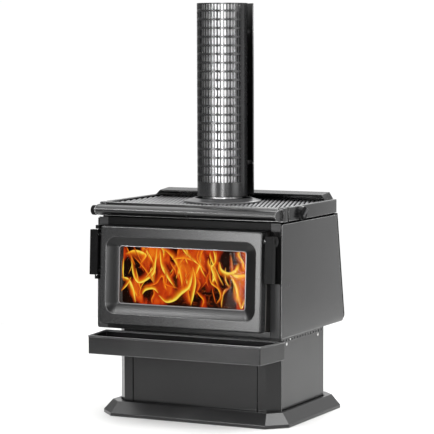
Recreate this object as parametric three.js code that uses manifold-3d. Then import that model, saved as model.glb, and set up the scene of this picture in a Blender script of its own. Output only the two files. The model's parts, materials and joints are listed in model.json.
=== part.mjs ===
// Wood burning convection stove with a pedestal, an ash shelf, a glazed cast iron door and a guarded flue.
// Units are millimetres, +Z is up and -Y is the front. The origin is on the floor under the flue axis.

import * as THREE from 'three';
import { mergeVertices } from 'three/addons/utils/BufferGeometryUtils.js';
import Module from 'manifold-3d';

const wasm = await Module();
wasm.setup();

// ---------------------------------------------------------------- driving dimensions

const GAP = 0.3; // clearance between pieces that touch
const SHEET = 2; // thickness of folded sheet steel

// plinth and pedestal
const TOE = { half: 383.7, front: -304.7, back: 294.8, chamfer: 66, height: 12.2 };
const SKIRT_TOP = { half: 351.6, front: -269, back: 265.6, chamfer: 45, z: 51 };
const BASE_THICKNESS = 3;
const PEDESTAL = { half: 332, front: -240.4, back: 188, sideFront: -193, cornerHalf: 293, panelHalf: 258 };
const VENT = { size: 9, count: 15, first: -173, last: 168, z: 304 };

// ash shelf
const SHELF = { front: -413, back: -242, frontHalf: 350.6, backHalf: 370.3, bottom: 246.8, top: 315 };

// convection casing
const CASING = { half: 376.8, bottom: 329.2, top: 743.7, frontBottom: -293.5, frontTop: -284 };
const CASING_BACK = { bottom: 294, top: 221 };
const FRONT_LEAN = Math.atan((CASING.frontTop - CASING.frontBottom) / (CASING.top - CASING.bottom));
const MOUTH_HALF = 333.3; // half width of the gap between the corner plates
const HANDLE_WINDOW = { inner: 345, bottom: 197, top: 366 }; // cut-out in each corner plate

// top frame, hob and nose rail
const FRAME = { half: 378, front: -268, back: 212.7, bottom: 747, top: 797.5, band: 3, flange: 16 };
const HOB = { top: 790.6, thickness: 4, hole: 121.5 };
const NOSE = { half: 365, tip: -325, bottom: 752, top: 789, wall: 2.5 };
const HOOD = { half: 358.5, topHalf: 343, front: 137, frontTop: 142, back: 217, top: 816, backTop: 822.5 };

// flue
const FLUE_TOP = 1533;
const PIPE = { outer: 75, inner: 73.5, bottom: 732 };
const GUARD = { outer: 95, inner: 93.8, bottom: 815 };
const SHIELD = { outer: 118, inner: 116.8, bottom: 815, edgeAngle: 10 };
const COLLAR = { outer: 146, inner: 120, bottom: 791, top: 805 };
const SPIGOT = { outer: 79, inner: 75.4, top: 806 };

// door, which leans back with the firebox front
const DOOR = { half: 329, halfHeight: 179.9, depth: 41, centreY: -357.8, centreZ: 535.45 };
const DOOR_LEAN = Math.atan(0.0507);
const WINDOW = { half: 257, bottom: -102, top: 107.5, corner: 9 };
const SPLAY = { side: 295, bottom: -137, top: 141, corner: 43, innerSide: 262, depth: 18 };
const GLASS = { front: 30.3, thickness: 4, lap: 13 };
const ROPE = { half: 306, halfHeight: 158, width: 12, front: 36.6, back: 52.6 };

// firebox
const BOX = { half: 300, wall: 6, floor: 357, top: 710, back: 150 };
const FRONT_FRAME = { half: 322, halfHeight: 178, front: 53, thickness: 8 };
const FIRE_MOUTH = { half: 262, bottom: -104, top: 110 };
const BRICK = { thickness: 30, floorThickness: 25, front: -270, top: 649 };

// handle and hinge, in the leaning door's own axes: across, in and up
const BAR = { inner: 340.7, outer: 373, thickness: 20, bottom: -1.5, top: 165.8 };
const BOSS = { radius: 18, depth: 26.3, height: 147.6 };
const SHAFT_RADIUS = 6;
const HINGE = { across: 357, depth: 30, pinRadius: 5 };

// controls
const FAN_KNOB = { x: 378, y: -130, z: 771, radius: 26, depth: 24 };
const AIR_KNOB = { x: -370, y: -298, z: 768, radius: 18.5, length: 19.5 };

// convection fan
const FAN = { y: 238, z: 250, radius: 36, half: 100, boxHalf: 140, boxFront: 190, boxBack: 286, boxBottom: 180 };

const ROUND = 48; // facets around a large circle

// ---------------------------------------------------------------- materials

function paint(color, roughness, metalness) {
  return new THREE.MeshStandardMaterial({ color, roughness, metalness });
}

const CHARCOAL = paint(0x3a3b3d, 0.5, 0.3);
const BLACK = paint(0x161617, 0.55, 0.2);
const CAST = paint(0x2c2d2f, 0.6, 0.3);
const STEEL = paint(0xb8babd, 0.28, 1);
const RAW = paint(0x55565a, 0.55, 0.8);
const GLAZING = paint(0x40240f, 0.05, 0);
const ROPE_GREY = paint(0x8f8c86, 0.95, 0);
const FIREBRICK = paint(0xb9a183, 0.95, 0);
const PHENOLIC = paint(0x111112, 0.3, 0);

// ---------------------------------------------------------------- geometry helpers

function solid(geometry) {
  const bare = geometry.clone();
  bare.deleteAttribute('normal');
  bare.deleteAttribute('uv');
  const merged = mergeVertices(bare, 1e-4);
  return new wasm.Manifold(new wasm.Mesh({
    numProp: 3,
    vertProperties: new Float32Array(merged.attributes.position.array),
    triVerts: new Uint32Array(merged.index.array),
  }));
}

function geometryOf(manifold) {
  const mesh = manifold.getMesh();
  const geometry = new THREE.BufferGeometry();
  geometry.setAttribute('position', new THREE.BufferAttribute(new Float32Array(mesh.vertProperties), 3));
  geometry.setIndex(new THREE.BufferAttribute(new Uint32Array(mesh.triVerts), 1));
  return geometry;
}

function cut(body, ...tools) {
  return geometryOf(tools.reduce((left, tool) => left.subtract(solid(tool)), solid(body)));
}

function join(...bodies) {
  return geometryOf(bodies.map(solid).reduce((left, right) => left.add(right)));
}

function block([x0, x1], [y0, y1], [z0, z1]) {
  return new THREE.BoxGeometry(x1 - x0, y1 - y0, z1 - z0)
    .translate((x0 + x1) / 2, (y0 + y1) / 2, (z0 + z1) / 2);
}

function outline(points) {
  return new THREE.Shape(points.map(([u, v]) => new THREE.Vector2(u, v)));
}

function extrude(shape, depth, curveSegments = 6) {
  return new THREE.ExtrudeGeometry(shape, { depth, bevelEnabled: false, curveSegments });
}

// A shape drawn in (X, Y), extruded upwards from z.
function slab(shape, z, thickness) {
  return extrude(shape, thickness).translate(0, 0, z);
}

// A shape drawn in (X, Z), extruded towards +Y from y.
function upright(shape, y, thickness) {
  return extrude(shape, thickness).rotateX(Math.PI / 2).translate(0, y + thickness, 0);
}

// A shape drawn in (Y, Z), extruded towards +X from x.
function sideways(shape, x, thickness) {
  const turn = new THREE.Matrix4().makeBasis(
    new THREE.Vector3(0, 1, 0), new THREE.Vector3(0, 0, 1), new THREE.Vector3(1, 0, 0));
  return extrude(shape, thickness).applyMatrix4(turn).translate(x, 0, 0);
}

function chamfered({ half, front, back, chamfer }, inset = 0) {
  const h = half - inset;
  const f = front + inset;
  const b = back - inset;
  const c = chamfer - 0.59 * inset;
  return [
    [-h + c, f], [h - c, f], [h, f + c], [h, b - c],
    [h - c, b], [-h + c, b], [-h, b - c], [-h, f + c],
  ];
}

// A closed solid skinned over rings of matching points, capped at both ends.
function skin(rings) {
  const count = rings[0].length;
  const positions = rings.flat(2);
  const index = [];
  for (let level = 0; level < rings.length - 1; level += 1) {
    for (let i = 0; i < count; i += 1) {
      const a = level * count + i;
      const b = level * count + (i + 1) % count;
      index.push(a, b, b + count, a, b + count, a + count);
    }
  }
  const top = (rings.length - 1) * count;
  for (let i = 1; i < count - 1; i += 1) {
    index.push(0, i + 1, i, top, top + i, top + i + 1);
  }
  const geometry = new THREE.BufferGeometry();
  geometry.setAttribute('position', new THREE.Float32BufferAttribute(positions, 3));
  geometry.setIndex(index);
  return geometry;
}

function roundedRect(x0, x1, y0, y1, r) {
  const shape = new THREE.Shape();
  shape.moveTo(x0 + r, y0);
  shape.lineTo(x1 - r, y0);
  shape.absarc(x1 - r, y0 + r, r, -Math.PI / 2, 0, false);
  shape.lineTo(x1, y1 - r);
  shape.absarc(x1 - r, y1 - r, r, 0, Math.PI / 2, false);
  shape.lineTo(x0 + r, y1);
  shape.absarc(x0 + r, y1 - r, r, Math.PI / 2, Math.PI, false);
  shape.lineTo(x0, y0 + r);
  shape.absarc(x0 + r, y0 + r, r, Math.PI, Math.PI * 1.5, false);
  return shape;
}

function tube(outer, inner, z0, z1, facets = ROUND) {
  const profile = [[inner, z0], [outer, z0], [outer, z1], [inner, z1], [inner, z0]];
  return lathe(profile, facets);
}

// A profile of (radius, height) points turned about +Z.
function lathe(profile, facets = ROUND) {
  return new THREE.LatheGeometry(profile.map(([r, z]) => new THREE.Vector2(r, z)), facets)
    .rotateX(Math.PI / 2);
}

function rodX(radius, x0, x1, y, z, facets = 24) {
  return new THREE.CylinderGeometry(radius, radius, x1 - x0, facets)
    .rotateZ(Math.PI / 2).translate((x0 + x1) / 2, y, z);
}

function rodY(radius, y0, y1, x, z, facets = 24) {
  return new THREE.CylinderGeometry(radius, radius, y1 - y0, facets).translate(x, (y0 + y1) / 2, z);
}

function rodZ(radius, z0, z1, x, y, facets = 24) {
  return new THREE.CylinderGeometry(radius, radius, z1 - z0, facets)
    .rotateX(Math.PI / 2).translate(x, y, (z0 + z1) / 2);
}

// The same piece for the other side, with its facets turned to face outwards again.
function mirrored(geometry) {
  const copy = geometryOf(solid(geometry)).scale(-1, 1, 1);
  const corners = copy.index.array;
  for (let i = 0; i < corners.length; i += 3) {
    [corners[i], corners[i + 1]] = [corners[i + 1], corners[i]];
  }
  return copy;
}

function add(group, name, geometry, material) {
  const mesh = new THREE.Mesh(geometry, material);
  mesh.name = name;
  group.add(mesh);
}

function addPair(group, name, right, material) {
  add(group, `${name}_right`, right, material);
  add(group, `${name}_left`, mirrored(right), material);
}

const stove = new THREE.Group();

// Casing front sheets lean back slightly: their group's origin is the casing's lower front edge.
const casingFront = new THREE.Group();
casingFront.position.set(0, CASING.frontBottom, CASING.bottom);
casingFront.rotation.x = -FRONT_LEAN;
stove.add(casingFront);

// The door, its latch and the firebox front share a steeper lean, about the door's centre.
const doorPlane = new THREE.Group();
doorPlane.position.set(0, DOOR.centreY, DOOR.centreZ);
doorPlane.rotation.x = -DOOR_LEAN;
stove.add(doorPlane);

// ---------------------------------------------------------------- plinth and pedestal

function basePlate() {
  return slab(outline(chamfered(TOE, SHEET + 1)), 0, BASE_THICKNESS);
}

function plinthSkirt() {
  const ringAt = (section, inset, z) => chamfered(section, inset).map(([x, y]) => [x, y, z]);
  const outside = skin([ringAt(TOE, 0, 0), ringAt(TOE, 0, TOE.height), ringAt(SKIRT_TOP, 0, SKIRT_TOP.z)]);
  const inside = skin([
    ringAt(TOE, SHEET, -1), ringAt(TOE, SHEET, TOE.height - 1), ringAt(SKIRT_TOP, SHEET, SKIRT_TOP.z - SHEET),
  ]);
  const ledgeHole = slab(outline(pedestalOutline(6)), 0, SKIRT_TOP.z + 10);
  return cut(outside, inside, ledgeHole);
}

function pedestalOutline(grow) {
  const side = PEDESTAL.half + grow;
  const front = PEDESTAL.front - grow;
  const back = PEDESTAL.back + grow;
  return [
    [-PEDESTAL.cornerHalf, front], [PEDESTAL.cornerHalf, front], [side, PEDESTAL.sideFront],
    [side, back], [-side, back], [-side, PEDESTAL.sideFront],
  ];
}

const pedestalBottom = BASE_THICKNESS + GAP;
const pedestalTop = CASING.bottom - GAP;

function pedestalSide() {
  const plate = block([PEDESTAL.half - SHEET, PEDESTAL.half], [PEDESTAL.sideFront + SHEET, PEDESTAL.back],
    [pedestalBottom, pedestalTop]);
  const pitch = (VENT.last - VENT.first) / (VENT.count - 1);
  const vents = Array.from({ length: VENT.count }, (_, i) => {
    const y = VENT.first + i * pitch;
    return block([PEDESTAL.half - 2 * SHEET, PEDESTAL.half + SHEET], [y - VENT.size / 2, y + VENT.size / 2],
      [VENT.z - VENT.size / 2, VENT.z + VENT.size / 2]);
  });
  return cut(plate, ...vents);
}

function pedestalCorner() {
  const { half, front, sideFront, cornerHalf, panelHalf } = PEDESTAL;
  const fold = 0.7 * SHEET;
  const strip = outline([
    [panelHalf + GAP, front], [cornerHalf, front], [half, sideFront], [half - SHEET, sideFront + fold * 0.6],
    [cornerHalf - fold * 0.5, front + SHEET], [panelHalf + GAP, front + SHEET],
  ]);
  return slab(strip, pedestalBottom, pedestalTop - pedestalBottom);
}

add(stove, 'base_plate', basePlate(), BLACK);
add(stove, 'plinth_skirt', plinthSkirt(), CHARCOAL);
addPair(stove, 'pedestal_side', pedestalSide(), CHARCOAL);
addPair(stove, 'pedestal_corner', pedestalCorner(), CHARCOAL);
add(stove, 'pedestal_front', block([-PEDESTAL.panelHalf, PEDESTAL.panelHalf],
  [PEDESTAL.front + 1.5, PEDESTAL.front + 1.5 + SHEET], [pedestalBottom, pedestalTop]), CHARCOAL);
add(stove, 'pedestal_back', block([-PEDESTAL.half + SHEET + GAP, PEDESTAL.half - SHEET - GAP],
  [PEDESTAL.back - SHEET, PEDESTAL.back], [pedestalBottom, pedestalTop]), BLACK);

// ---------------------------------------------------------------- ash shelf

function ashShelf() {
  const plan = (inset) => outline([
    [-SHELF.frontHalf + inset, SHELF.front + inset], [SHELF.frontHalf - inset, SHELF.front + inset],
    [SHELF.backHalf - inset, SHELF.back - inset], [-SHELF.backHalf + inset, SHELF.back - inset],
  ]);
  const tray = slab(plan(0), SHELF.bottom, SHELF.top - SHELF.bottom);
  return cut(tray, slab(plan(SHEET), SHELF.bottom + SHEET, SHELF.top));
}

add(stove, 'ash_shelf', ashShelf(), CHARCOAL);

// ---------------------------------------------------------------- convection casing

const fanPort = { half: 130, front: 200, back: 280 };

function casingFloor() {
  const x = CASING.half - SHEET - GAP;
  const plate = block([-x, x], [CASING.frontBottom + SHEET + 1, CASING_BACK.bottom - SHEET - 1],
    [CASING.bottom, CASING.bottom + SHEET]);
  return cut(plate, block([-fanPort.half, fanPort.half], [fanPort.front, fanPort.back],
    [CASING.bottom - 5, CASING.bottom + 5]));
}

function casingSide() {
  const edge = outline([
    [CASING.frontBottom, CASING.bottom], [CASING_BACK.bottom, CASING.bottom],
    [CASING_BACK.top, CASING.top], [CASING.frontTop, CASING.top],
  ]);
  return sideways(edge, CASING.half - SHEET, SHEET);
}

function casingBack() {
  const x = CASING.half - SHEET - GAP;
  const edge = outline([
    [CASING_BACK.bottom - SHEET, CASING.bottom], [CASING_BACK.bottom, CASING.bottom],
    [CASING_BACK.top, CASING.top], [CASING_BACK.top - SHEET, CASING.top],
  ]);
  return sideways(edge, -x, 2 * x);
}

function cornerPlate() {
  const outer = CASING.half - SHEET - GAP;
  const top = (CASING.top - CASING.bottom) / Math.cos(FRONT_LEAN) - 0.5;
  const bottom = SHEET + 0.6;
  return upright(outline([
    [MOUTH_HALF, bottom], [outer, bottom], [outer, HANDLE_WINDOW.bottom],
    [HANDLE_WINDOW.inner, HANDLE_WINDOW.bottom], [HANDLE_WINDOW.inner, HANDLE_WINDOW.top],
    [outer, HANDLE_WINDOW.top], [outer, top], [MOUTH_HALF, top],
  ]), 0, SHEET);
}

const mouth = MOUTH_HALF - GAP;

add(stove, 'casing_floor', casingFloor(), BLACK);
addPair(stove, 'casing_side', casingSide(), CHARCOAL);
add(stove, 'casing_back', casingBack(), BLACK);
addPair(casingFront, 'corner_plate', cornerPlate(), CHARCOAL);
add(casingFront, 'fascia_upper', block([-mouth, mouth], [0, SHEET], [388, 414]), CHARCOAL);
add(casingFront, 'fascia_lower', block([-mouth, mouth], [0, SHEET], [2.6, 23]), CHARCOAL);

// ---------------------------------------------------------------- top frame, hob, nose rail and hood

function frameBlock(inset, z0, z1) {
  const x = FRAME.half - inset;
  return block([-x, x], [FRAME.front + inset, FRAME.back - inset], [z0, z1]);
}

function topFrame() {
  const skirtInset = 7;
  const skirtBottom = FRAME.bottom - 12;
  const body = join(frameBlock(0, FRAME.bottom, FRAME.top), frameBlock(skirtInset, skirtBottom, FRAME.top - 1));
  const flangeBottom = HOB.top + GAP;
  const skirtHole = frameBlock(skirtInset + FRAME.band, skirtBottom - 1, FRAME.bottom + FRAME.band);
  const bandHole = frameBlock(FRAME.band, FRAME.bottom + FRAME.band - 0.5, flangeBottom);
  const mouthHole = frameBlock(FRAME.flange, flangeBottom - 1, FRAME.top + 1);
  const knobHole = rodX(6, FRAME.half - 8, FRAME.half + 2, FAN_KNOB.y, FAN_KNOB.z);
  return cut(body, skirtHole, bandHole, mouthHole, knobHole);
}

function hobGrille() {
  const inset = FRAME.band + GAP;
  return cut(frameBlock(inset, HOB.top - HOB.thickness, HOB.top),
    rodZ(HOB.hole, HOB.top - 20, HOB.top + 20, 0, 0, ROUND));
}

// Bullnose section in (Y, Z), grown outwards from the rail's outer skin by a given amount.
function noseSection(grow, back) {
  const middle = (NOSE.top + NOSE.bottom) / 2;
  const rise = (NOSE.top - NOSE.bottom) / 2 + grow;
  const reach = 34;
  const centre = NOSE.tip + reach;
  const points = [[back, middle - rise]];
  const steps = 12;
  for (let i = 0; i <= steps; i += 1) {
    const angle = -Math.PI / 2 - (Math.PI * i) / steps;
    points.push([centre + (reach + grow) * Math.cos(angle), middle + rise * Math.sin(angle)]);
  }
  points.push([back, middle + rise]);
  return outline(points.reverse());
}

function frontRail() {
  const back = FRAME.front - GAP;
  const outside = sideways(noseSection(0, back), -NOSE.half, 2 * NOSE.half);
  const inside = sideways(noseSection(-NOSE.wall, back + 5), -NOSE.half - 1, 2 * NOSE.half + 2);
  return cut(outside, inside);
}

function railEnd() {
  return sideways(noseSection(1.8, FRAME.front - GAP), NOSE.half + GAP, 3.5);
}

function railEndLeft() {
  const bore = rodX(5, AIR_KNOB.x - 2, AIR_KNOB.x + 10, AIR_KNOB.y, AIR_KNOB.z);
  return cut(mirrored(railEnd()), bore);
}

// The hood stands on the hob's back edge and turns the fan's air forward through its open front.
function rearAirHood() {
  const bottom = FRAME.top + GAP;
  const ringOf = (inset, lower, upper) => {
    const base = HOOD.half - inset;
    const head = HOOD.topHalf - inset;
    const back = HOOD.back - inset;
    const front = inset ? -20 : 0;
    return skin([
      [[-base, HOOD.front + front, lower], [base, HOOD.front + front, lower],
        [base, back, lower], [-base, back, lower]],
      [[-head, HOOD.frontTop + front, HOOD.top + upper], [head, HOOD.frontTop + front, HOOD.top + upper],
        [head, back, HOOD.backTop + upper], [-head, back, HOOD.backTop + upper]],
    ]);
  };
  return cut(ringOf(0, bottom, 0), ringOf(SHEET, bottom - 3, -SHEET));
}

add(stove, 'top_frame', topFrame(), CHARCOAL);
add(stove, 'hob_grille', hobGrille(), CHARCOAL);
add(stove, 'front_rail', frontRail(), CHARCOAL);
add(stove, 'rail_end_right', railEnd(), CHARCOAL);
add(stove, 'rail_end_left', railEndLeft(), CHARCOAL);
add(stove, 'rear_air_hood', rearAirHood(), CHARCOAL);

// ---------------------------------------------------------------- flue

function flueCollar() {
  const { outer, inner, bottom, top } = COLLAR;
  return lathe([
    [inner, bottom], [outer, bottom], [outer, bottom + 4], [outer - 4, top - 4],
    [outer - 11, top], [inner + 4, top], [inner, top - 4], [inner, bottom],
  ]);
}

// A slim ring clamped on the pipe with three tabs that hold the guard concentric.
function flueSpacer(z) {
  const tabs = [90, 210, 330].map((degrees) => block([PIPE.outer + 2, GUARD.inner - 1], [-6, 6], [z, z + 2])
    .rotateZ(THREE.MathUtils.degToRad(degrees)));
  return join(tube(PIPE.outer + 4, PIPE.outer + GAP, z, z + 2), ...tabs);
}

// The rear shield is an arc of sheet on four stand-offs that bear on the guard.
function flueShield() {
  const edge = THREE.MathUtils.degToRad(SHIELD.edgeAngle);
  const arc = new THREE.Shape();
  arc.absarc(0, 0, SHIELD.outer, edge, Math.PI - edge, false);
  arc.absarc(0, 0, SHIELD.inner, Math.PI - edge, edge, true);
  const sheet = extrude(arc, FLUE_TOP - SHIELD.bottom, 26).translate(0, 0, SHIELD.bottom);
  const standoffs = [930, 1420].flatMap((z) => [40, 140].map((degrees) => (
    block([GUARD.outer + GAP, SHIELD.inner + 0.5], [-7, 7], [z, z + 16])
      .rotateZ(THREE.MathUtils.degToRad(degrees)))));
  return join(sheet, ...standoffs);
}

add(stove, 'flue_collar', flueCollar(), CAST);
add(stove, 'flue_spigot', tube(SPIGOT.outer, SPIGOT.inner, BOX.top + GAP, SPIGOT.top), CAST);
add(stove, 'flue_pipe', tube(PIPE.outer, PIPE.inner, PIPE.bottom, FLUE_TOP), STEEL);
add(stove, 'flue_guard', tube(GUARD.outer, GUARD.inner, GUARD.bottom, FLUE_TOP), BLACK);
add(stove, 'flue_shield', flueShield(), BLACK);
add(stove, 'flue_spacer', flueSpacer(GUARD.bottom + 8), RAW);

// ---------------------------------------------------------------- firebox

const frameBack = FRONT_FRAME.front + FRONT_FRAME.thickness;

// Y of the front frame's back face at a height, with a small gap.
function behindFrame(z) {
  const lean = Math.tan(DOOR_LEAN);
  const foot = DOOR.centreY + frameBack * Math.cos(DOOR_LEAN);
  const height = DOOR.centreZ - frameBack * Math.sin(DOOR_LEAN);
  return foot + (z - height) * lean + GAP + 0.1;
}

function fireboxFront() {
  const { half, halfHeight, front, thickness } = FRONT_FRAME;
  const plate = roundedRect(-half, half, -halfHeight, halfHeight, 6);
  plate.holes.push(roundedRect(-FIRE_MOUTH.half, FIRE_MOUTH.half, FIRE_MOUTH.bottom, FIRE_MOUTH.top, 12));
  return upright(plate, front, thickness);
}

function fireboxSide() {
  const foot = CASING.bottom + SHEET + GAP;
  const head = BOX.top - BOX.wall - GAP;
  const lip = BOX.floor - 1;
  const setBack = CASING.frontBottom + 10; // the foot clears the lower fascia
  return sideways(outline([
    [setBack, foot], [BOX.back, foot], [BOX.back, head], [behindFrame(head), head],
    [behindFrame(lip), lip], [setBack, lip],
  ]), BOX.half - BOX.wall, BOX.wall);
}

function fireboxTop() {
  const y0 = behindFrame(BOX.top);
  return cut(block([-BOX.half, BOX.half], [y0, BOX.back], [BOX.top - BOX.wall, BOX.top]),
    rodZ(SPIGOT.inner, BOX.top - 20, BOX.top + 20, 0, 0, ROUND));
}

const innerHalf = BOX.half - BOX.wall - GAP;
const innerBack = BOX.back - BOX.wall - GAP;
const floorTop = BOX.floor + BOX.wall;
const brickFace = innerHalf - BRICK.thickness;

function sideBrick() {
  return block([brickFace, innerHalf], [BRICK.front, innerBack], [floorTop + GAP, BRICK.top]);
}

function logRetainer() {
  const bottom = floorTop + BRICK.floorThickness + 2 * GAP;
  const bar = block([-250, 250], [-284, -280], [bottom, bottom + 40]);
  const feet = [-200, 200].map((x) => block([x - 12, x + 12], [-284, -262], [bottom, bottom + 4]));
  return join(bar, ...feet);
}

add(doorPlane, 'firebox_front', fireboxFront(), CAST);
addPair(stove, 'firebox_side', fireboxSide(), RAW);
add(stove, 'firebox_back', block([-innerHalf, innerHalf], [BOX.back - BOX.wall, BOX.back],
  [BOX.floor, BOX.top - BOX.wall - GAP]), RAW);
add(stove, 'firebox_floor', block([-innerHalf, innerHalf], [behindFrame(BOX.floor) + 1, BOX.back - BOX.wall - GAP],
  [BOX.floor, floorTop]), RAW);
add(stove, 'firebox_top', fireboxTop(), RAW);
addPair(stove, 'brick_side', sideBrick(), FIREBRICK);
add(stove, 'brick_back', block([-brickFace + GAP, brickFace - GAP], [innerBack - BRICK.thickness, innerBack],
  [floorTop + GAP, BRICK.top]), FIREBRICK);
add(stove, 'brick_floor', block([-brickFace + GAP, brickFace - GAP],
  [BRICK.front - 18, innerBack - BRICK.thickness - GAP],
  [floorTop + GAP, floorTop + GAP + BRICK.floorThickness]), FIREBRICK);
add(stove, 'baffle_plate', block([-innerHalf, innerHalf], [-190, innerBack],
  [BRICK.top + GAP, BRICK.top + GAP + 6]), RAW);
add(stove, 'log_retainer', logRetainer(), RAW);

// ---------------------------------------------------------------- convection fan

function fanHousing() {
  const { boxHalf, boxFront, boxBack, boxBottom, y, z, radius } = FAN;
  const outside = block([-boxHalf, boxHalf], [boxFront, boxBack], [boxBottom, CASING.bottom - GAP]);
  const inside = block([-boxHalf + SHEET, boxHalf - SHEET], [boxFront + SHEET, boxBack - SHEET],
    [boxBottom + SHEET, CASING.bottom + 10]);
  const intake = rodX(radius - 2, -boxHalf - 5, -boxHalf + 10, y, z, 32);
  const shaftHole = rodX(10, boxHalf - 10, boxHalf + 5, y, z);
  const glandHole = rodY(6, boxBack - 10, boxBack + 5, -110, 205);
  return cut(outside, inside, intake, shaftHole, glandHole);
}

// Squirrel-cage wheel: two end discs, blades set on a slant and a through shaft.
function fanWheel() {
  const { radius, half, y, z } = FAN;
  const bladeCount = 16;
  const blades = Array.from({ length: bladeCount }, (_, i) => (
    new THREE.BoxGeometry(2 * half - 2, 2, 9)
      .rotateX(0.6).translate(0, 0, radius - 5.5).rotateX((2 * Math.PI * i) / bladeCount).translate(0, y, z)));
  const discs = [-half, half - 2].map((x) => rodX(radius, x, x + 2, y, z, 32));
  return join(rodX(4, -half - 20, FAN.boxHalf + 20, y, z, 12), ...discs, ...blades);
}

function fanMotor() {
  const can = rodX(30, FAN.boxHalf + GAP, FAN.boxHalf + 48, FAN.y, FAN.z, 32);
  return cut(can, rodX(5, FAN.boxHalf - 5, FAN.boxHalf + 26, FAN.y, FAN.z, 16));
}

function cordGland() {
  const body = join(rodY(9, FAN.boxBack + GAP, FAN.boxBack + 12, -110, 205), rodY(5.5, FAN.boxBack - 8,
    FAN.boxBack + 6, -110, 205));
  return cut(body, rodY(3.5, FAN.boxBack - 20, FAN.boxBack + 20, -110, 205));
}

const fan = new THREE.Group();
stove.add(fan);
add(fan, 'fan_housing', fanHousing(), BLACK);
add(fan, 'fan_wheel', fanWheel(), RAW);
add(fan, 'fan_motor', fanMotor(), RAW);
add(fan, 'cord_gland', cordGland(), PHENOLIC);

// ---------------------------------------------------------------- door

function doorFrame() {
  const { half, halfHeight, depth } = DOOR;
  const body = upright(roundedRect(-half, half, -halfHeight, halfHeight, 9), 0, depth);
  const section = (side, bottom, top, radius, y) => roundedRect(-side, side, bottom, top, radius)
    .extractPoints(5).shape.map((p) => [p.x, y, p.y]);
  const shrink = (SPLAY.side - SPLAY.innerSide) / SPLAY.depth;
  const at = (y) => section(SPLAY.side - shrink * y, SPLAY.bottom + shrink * y, SPLAY.top - shrink * y,
    SPLAY.corner - shrink * y * 0.95, y);
  const splay = skin([at(SPLAY.depth), at(-1)]);
  const windowHole = upright(roundedRect(-WINDOW.half, WINDOW.half, WINDOW.bottom, WINDOW.top, WINDOW.corner),
    5, depth);
  const lap = GLASS.lap + 1;
  const pocket = upright(roundedRect(-WINDOW.half - lap, WINDOW.half + lap, WINDOW.bottom - lap,
    WINDOW.top + lap, 6), GLASS.front - GAP, depth);
  const shaftBore = rodX(SHAFT_RADIUS + 0.4, half - 18, half + 5, BOSS.depth, BOSS.height);
  return cut(body, splay, windowHole, pocket, ropePath(1, ROPE.front - GAP, depth + 5), shaftBore);
}

// The seal runs in a channel around the back of the door.
function ropePath(extra, front, back) {
  const { half, halfHeight, width } = ROPE;
  const edge = width / 2 + extra;
  const ring = roundedRect(-half - edge, half + edge, -halfHeight - edge, halfHeight + edge, 24);
  ring.holes.push(roundedRect(-half + edge, half - edge, -halfHeight + edge, halfHeight - edge, 12));
  return upright(ring, front, back - front);
}

function doorGlass() {
  const { lap, front, thickness } = GLASS;
  return upright(roundedRect(-WINDOW.half - lap, WINDOW.half + lap, WINDOW.bottom - lap, WINDOW.top + lap, 4),
    front, thickness);
}

// One pressed ring that holds the pane in its pocket.
function glassRetainer() {
  const { lap, front, thickness } = GLASS;
  const y = front + thickness + GAP;
  const ring = roundedRect(-WINDOW.half - lap, WINDOW.half + lap, WINDOW.bottom - lap, WINDOW.top + lap, 4);
  ring.holes.push(roundedRect(-WINDOW.half, WINDOW.half, WINDOW.bottom, WINDOW.top, 8));
  return upright(ring, y, 3);
}

// The bar and boss shared by the handle on the right and the hinge bar on the left.
function barAndBoss() {
  const { inner, outer, thickness, bottom, top } = BAR;
  const bar = roundedRect(inner, outer, bottom, top, 3);
  return join(upright(bar, 0, thickness), rodX(BOSS.radius, inner, outer, BOSS.depth, BOSS.height, 32));
}

function handleLever() {
  return cut(barAndBoss(), rodX(SHAFT_RADIUS + GAP, BAR.inner - 5, BAR.outer - 5, BOSS.depth, BOSS.height));
}

// The latch shaft carries a cam that bears up under the keeper when the handle hangs down.
function handleShaft() {
  const shaft = rodX(SHAFT_RADIUS, DOOR.half - 16, BAR.outer - 6, BOSS.depth, BOSS.height);
  const camPlate = block([DOOR.half + 1.8, BAR.inner - 2], [BOSS.depth - 6, BOSS.depth + 31],
    [BOSS.height - 6, BOSS.height + 6]);
  return join(shaft, camPlate);
}

function hingeBar() {
  const { across, depth, pinRadius } = HINGE;
  const stubs = [BOSS.height, 14].map((z) => rodX(SHAFT_RADIUS, -BAR.inner - 4, -DOOR.half - GAP, 14, z));
  const knuckle = join(rodZ(11, BAR.bottom, 26, -across, depth),
    block([-across - 11, -across + 11], [BAR.thickness - 4, depth], [BAR.bottom, 26]));
  return cut(join(mirrored(barAndBoss()), knuckle, ...stubs),
    rodZ(pinRadius + GAP, BAR.bottom - 10, BAR.top + 10, -across, depth));
}

add(doorPlane, 'door_frame', doorFrame(), CAST);
add(doorPlane, 'door_glass', doorGlass(), GLAZING);
add(doorPlane, 'glass_retainer', glassRetainer(), RAW);
add(doorPlane, 'door_rope_seal', ropePath(0, ROPE.front, ROPE.back), ROPE_GREY);
add(doorPlane, 'hinge_bar', hingeBar(), BLACK);
add(doorPlane, 'handle_lever', handleLever(), BLACK);
add(doorPlane, 'handle_shaft', handleShaft(), STEEL);

// ---------------------------------------------------------------- hinge lugs, pin and latch keeper

// A lug reaches out from the corner plate to hold one end of the hinge pin.
function hingeLug(bottom, top, back) {
  const { across, depth, pinRadius } = HINGE;
  const body = join(rodZ(9, bottom, top, -across, depth),
    block([-across - 9, -across + 9], [depth, back], [bottom, top]));
  return cut(body, rodZ(pinRadius + GAP, bottom - 5, top + 5, -across, depth));
}

function latchKeeper() {
  const back = 63.4;
  const wall = block([331, 368], [back - 3.5, back], [154.8, 181]);
  const ramp = block([331, 340], [44, back - 1], [154.8, 166]);
  const stop = join(rodZ(8, 168, 181, 358, 48), block([350, 366], [48, back - 1], [168, 181]));
  return join(wall, ramp, stop);
}

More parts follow.
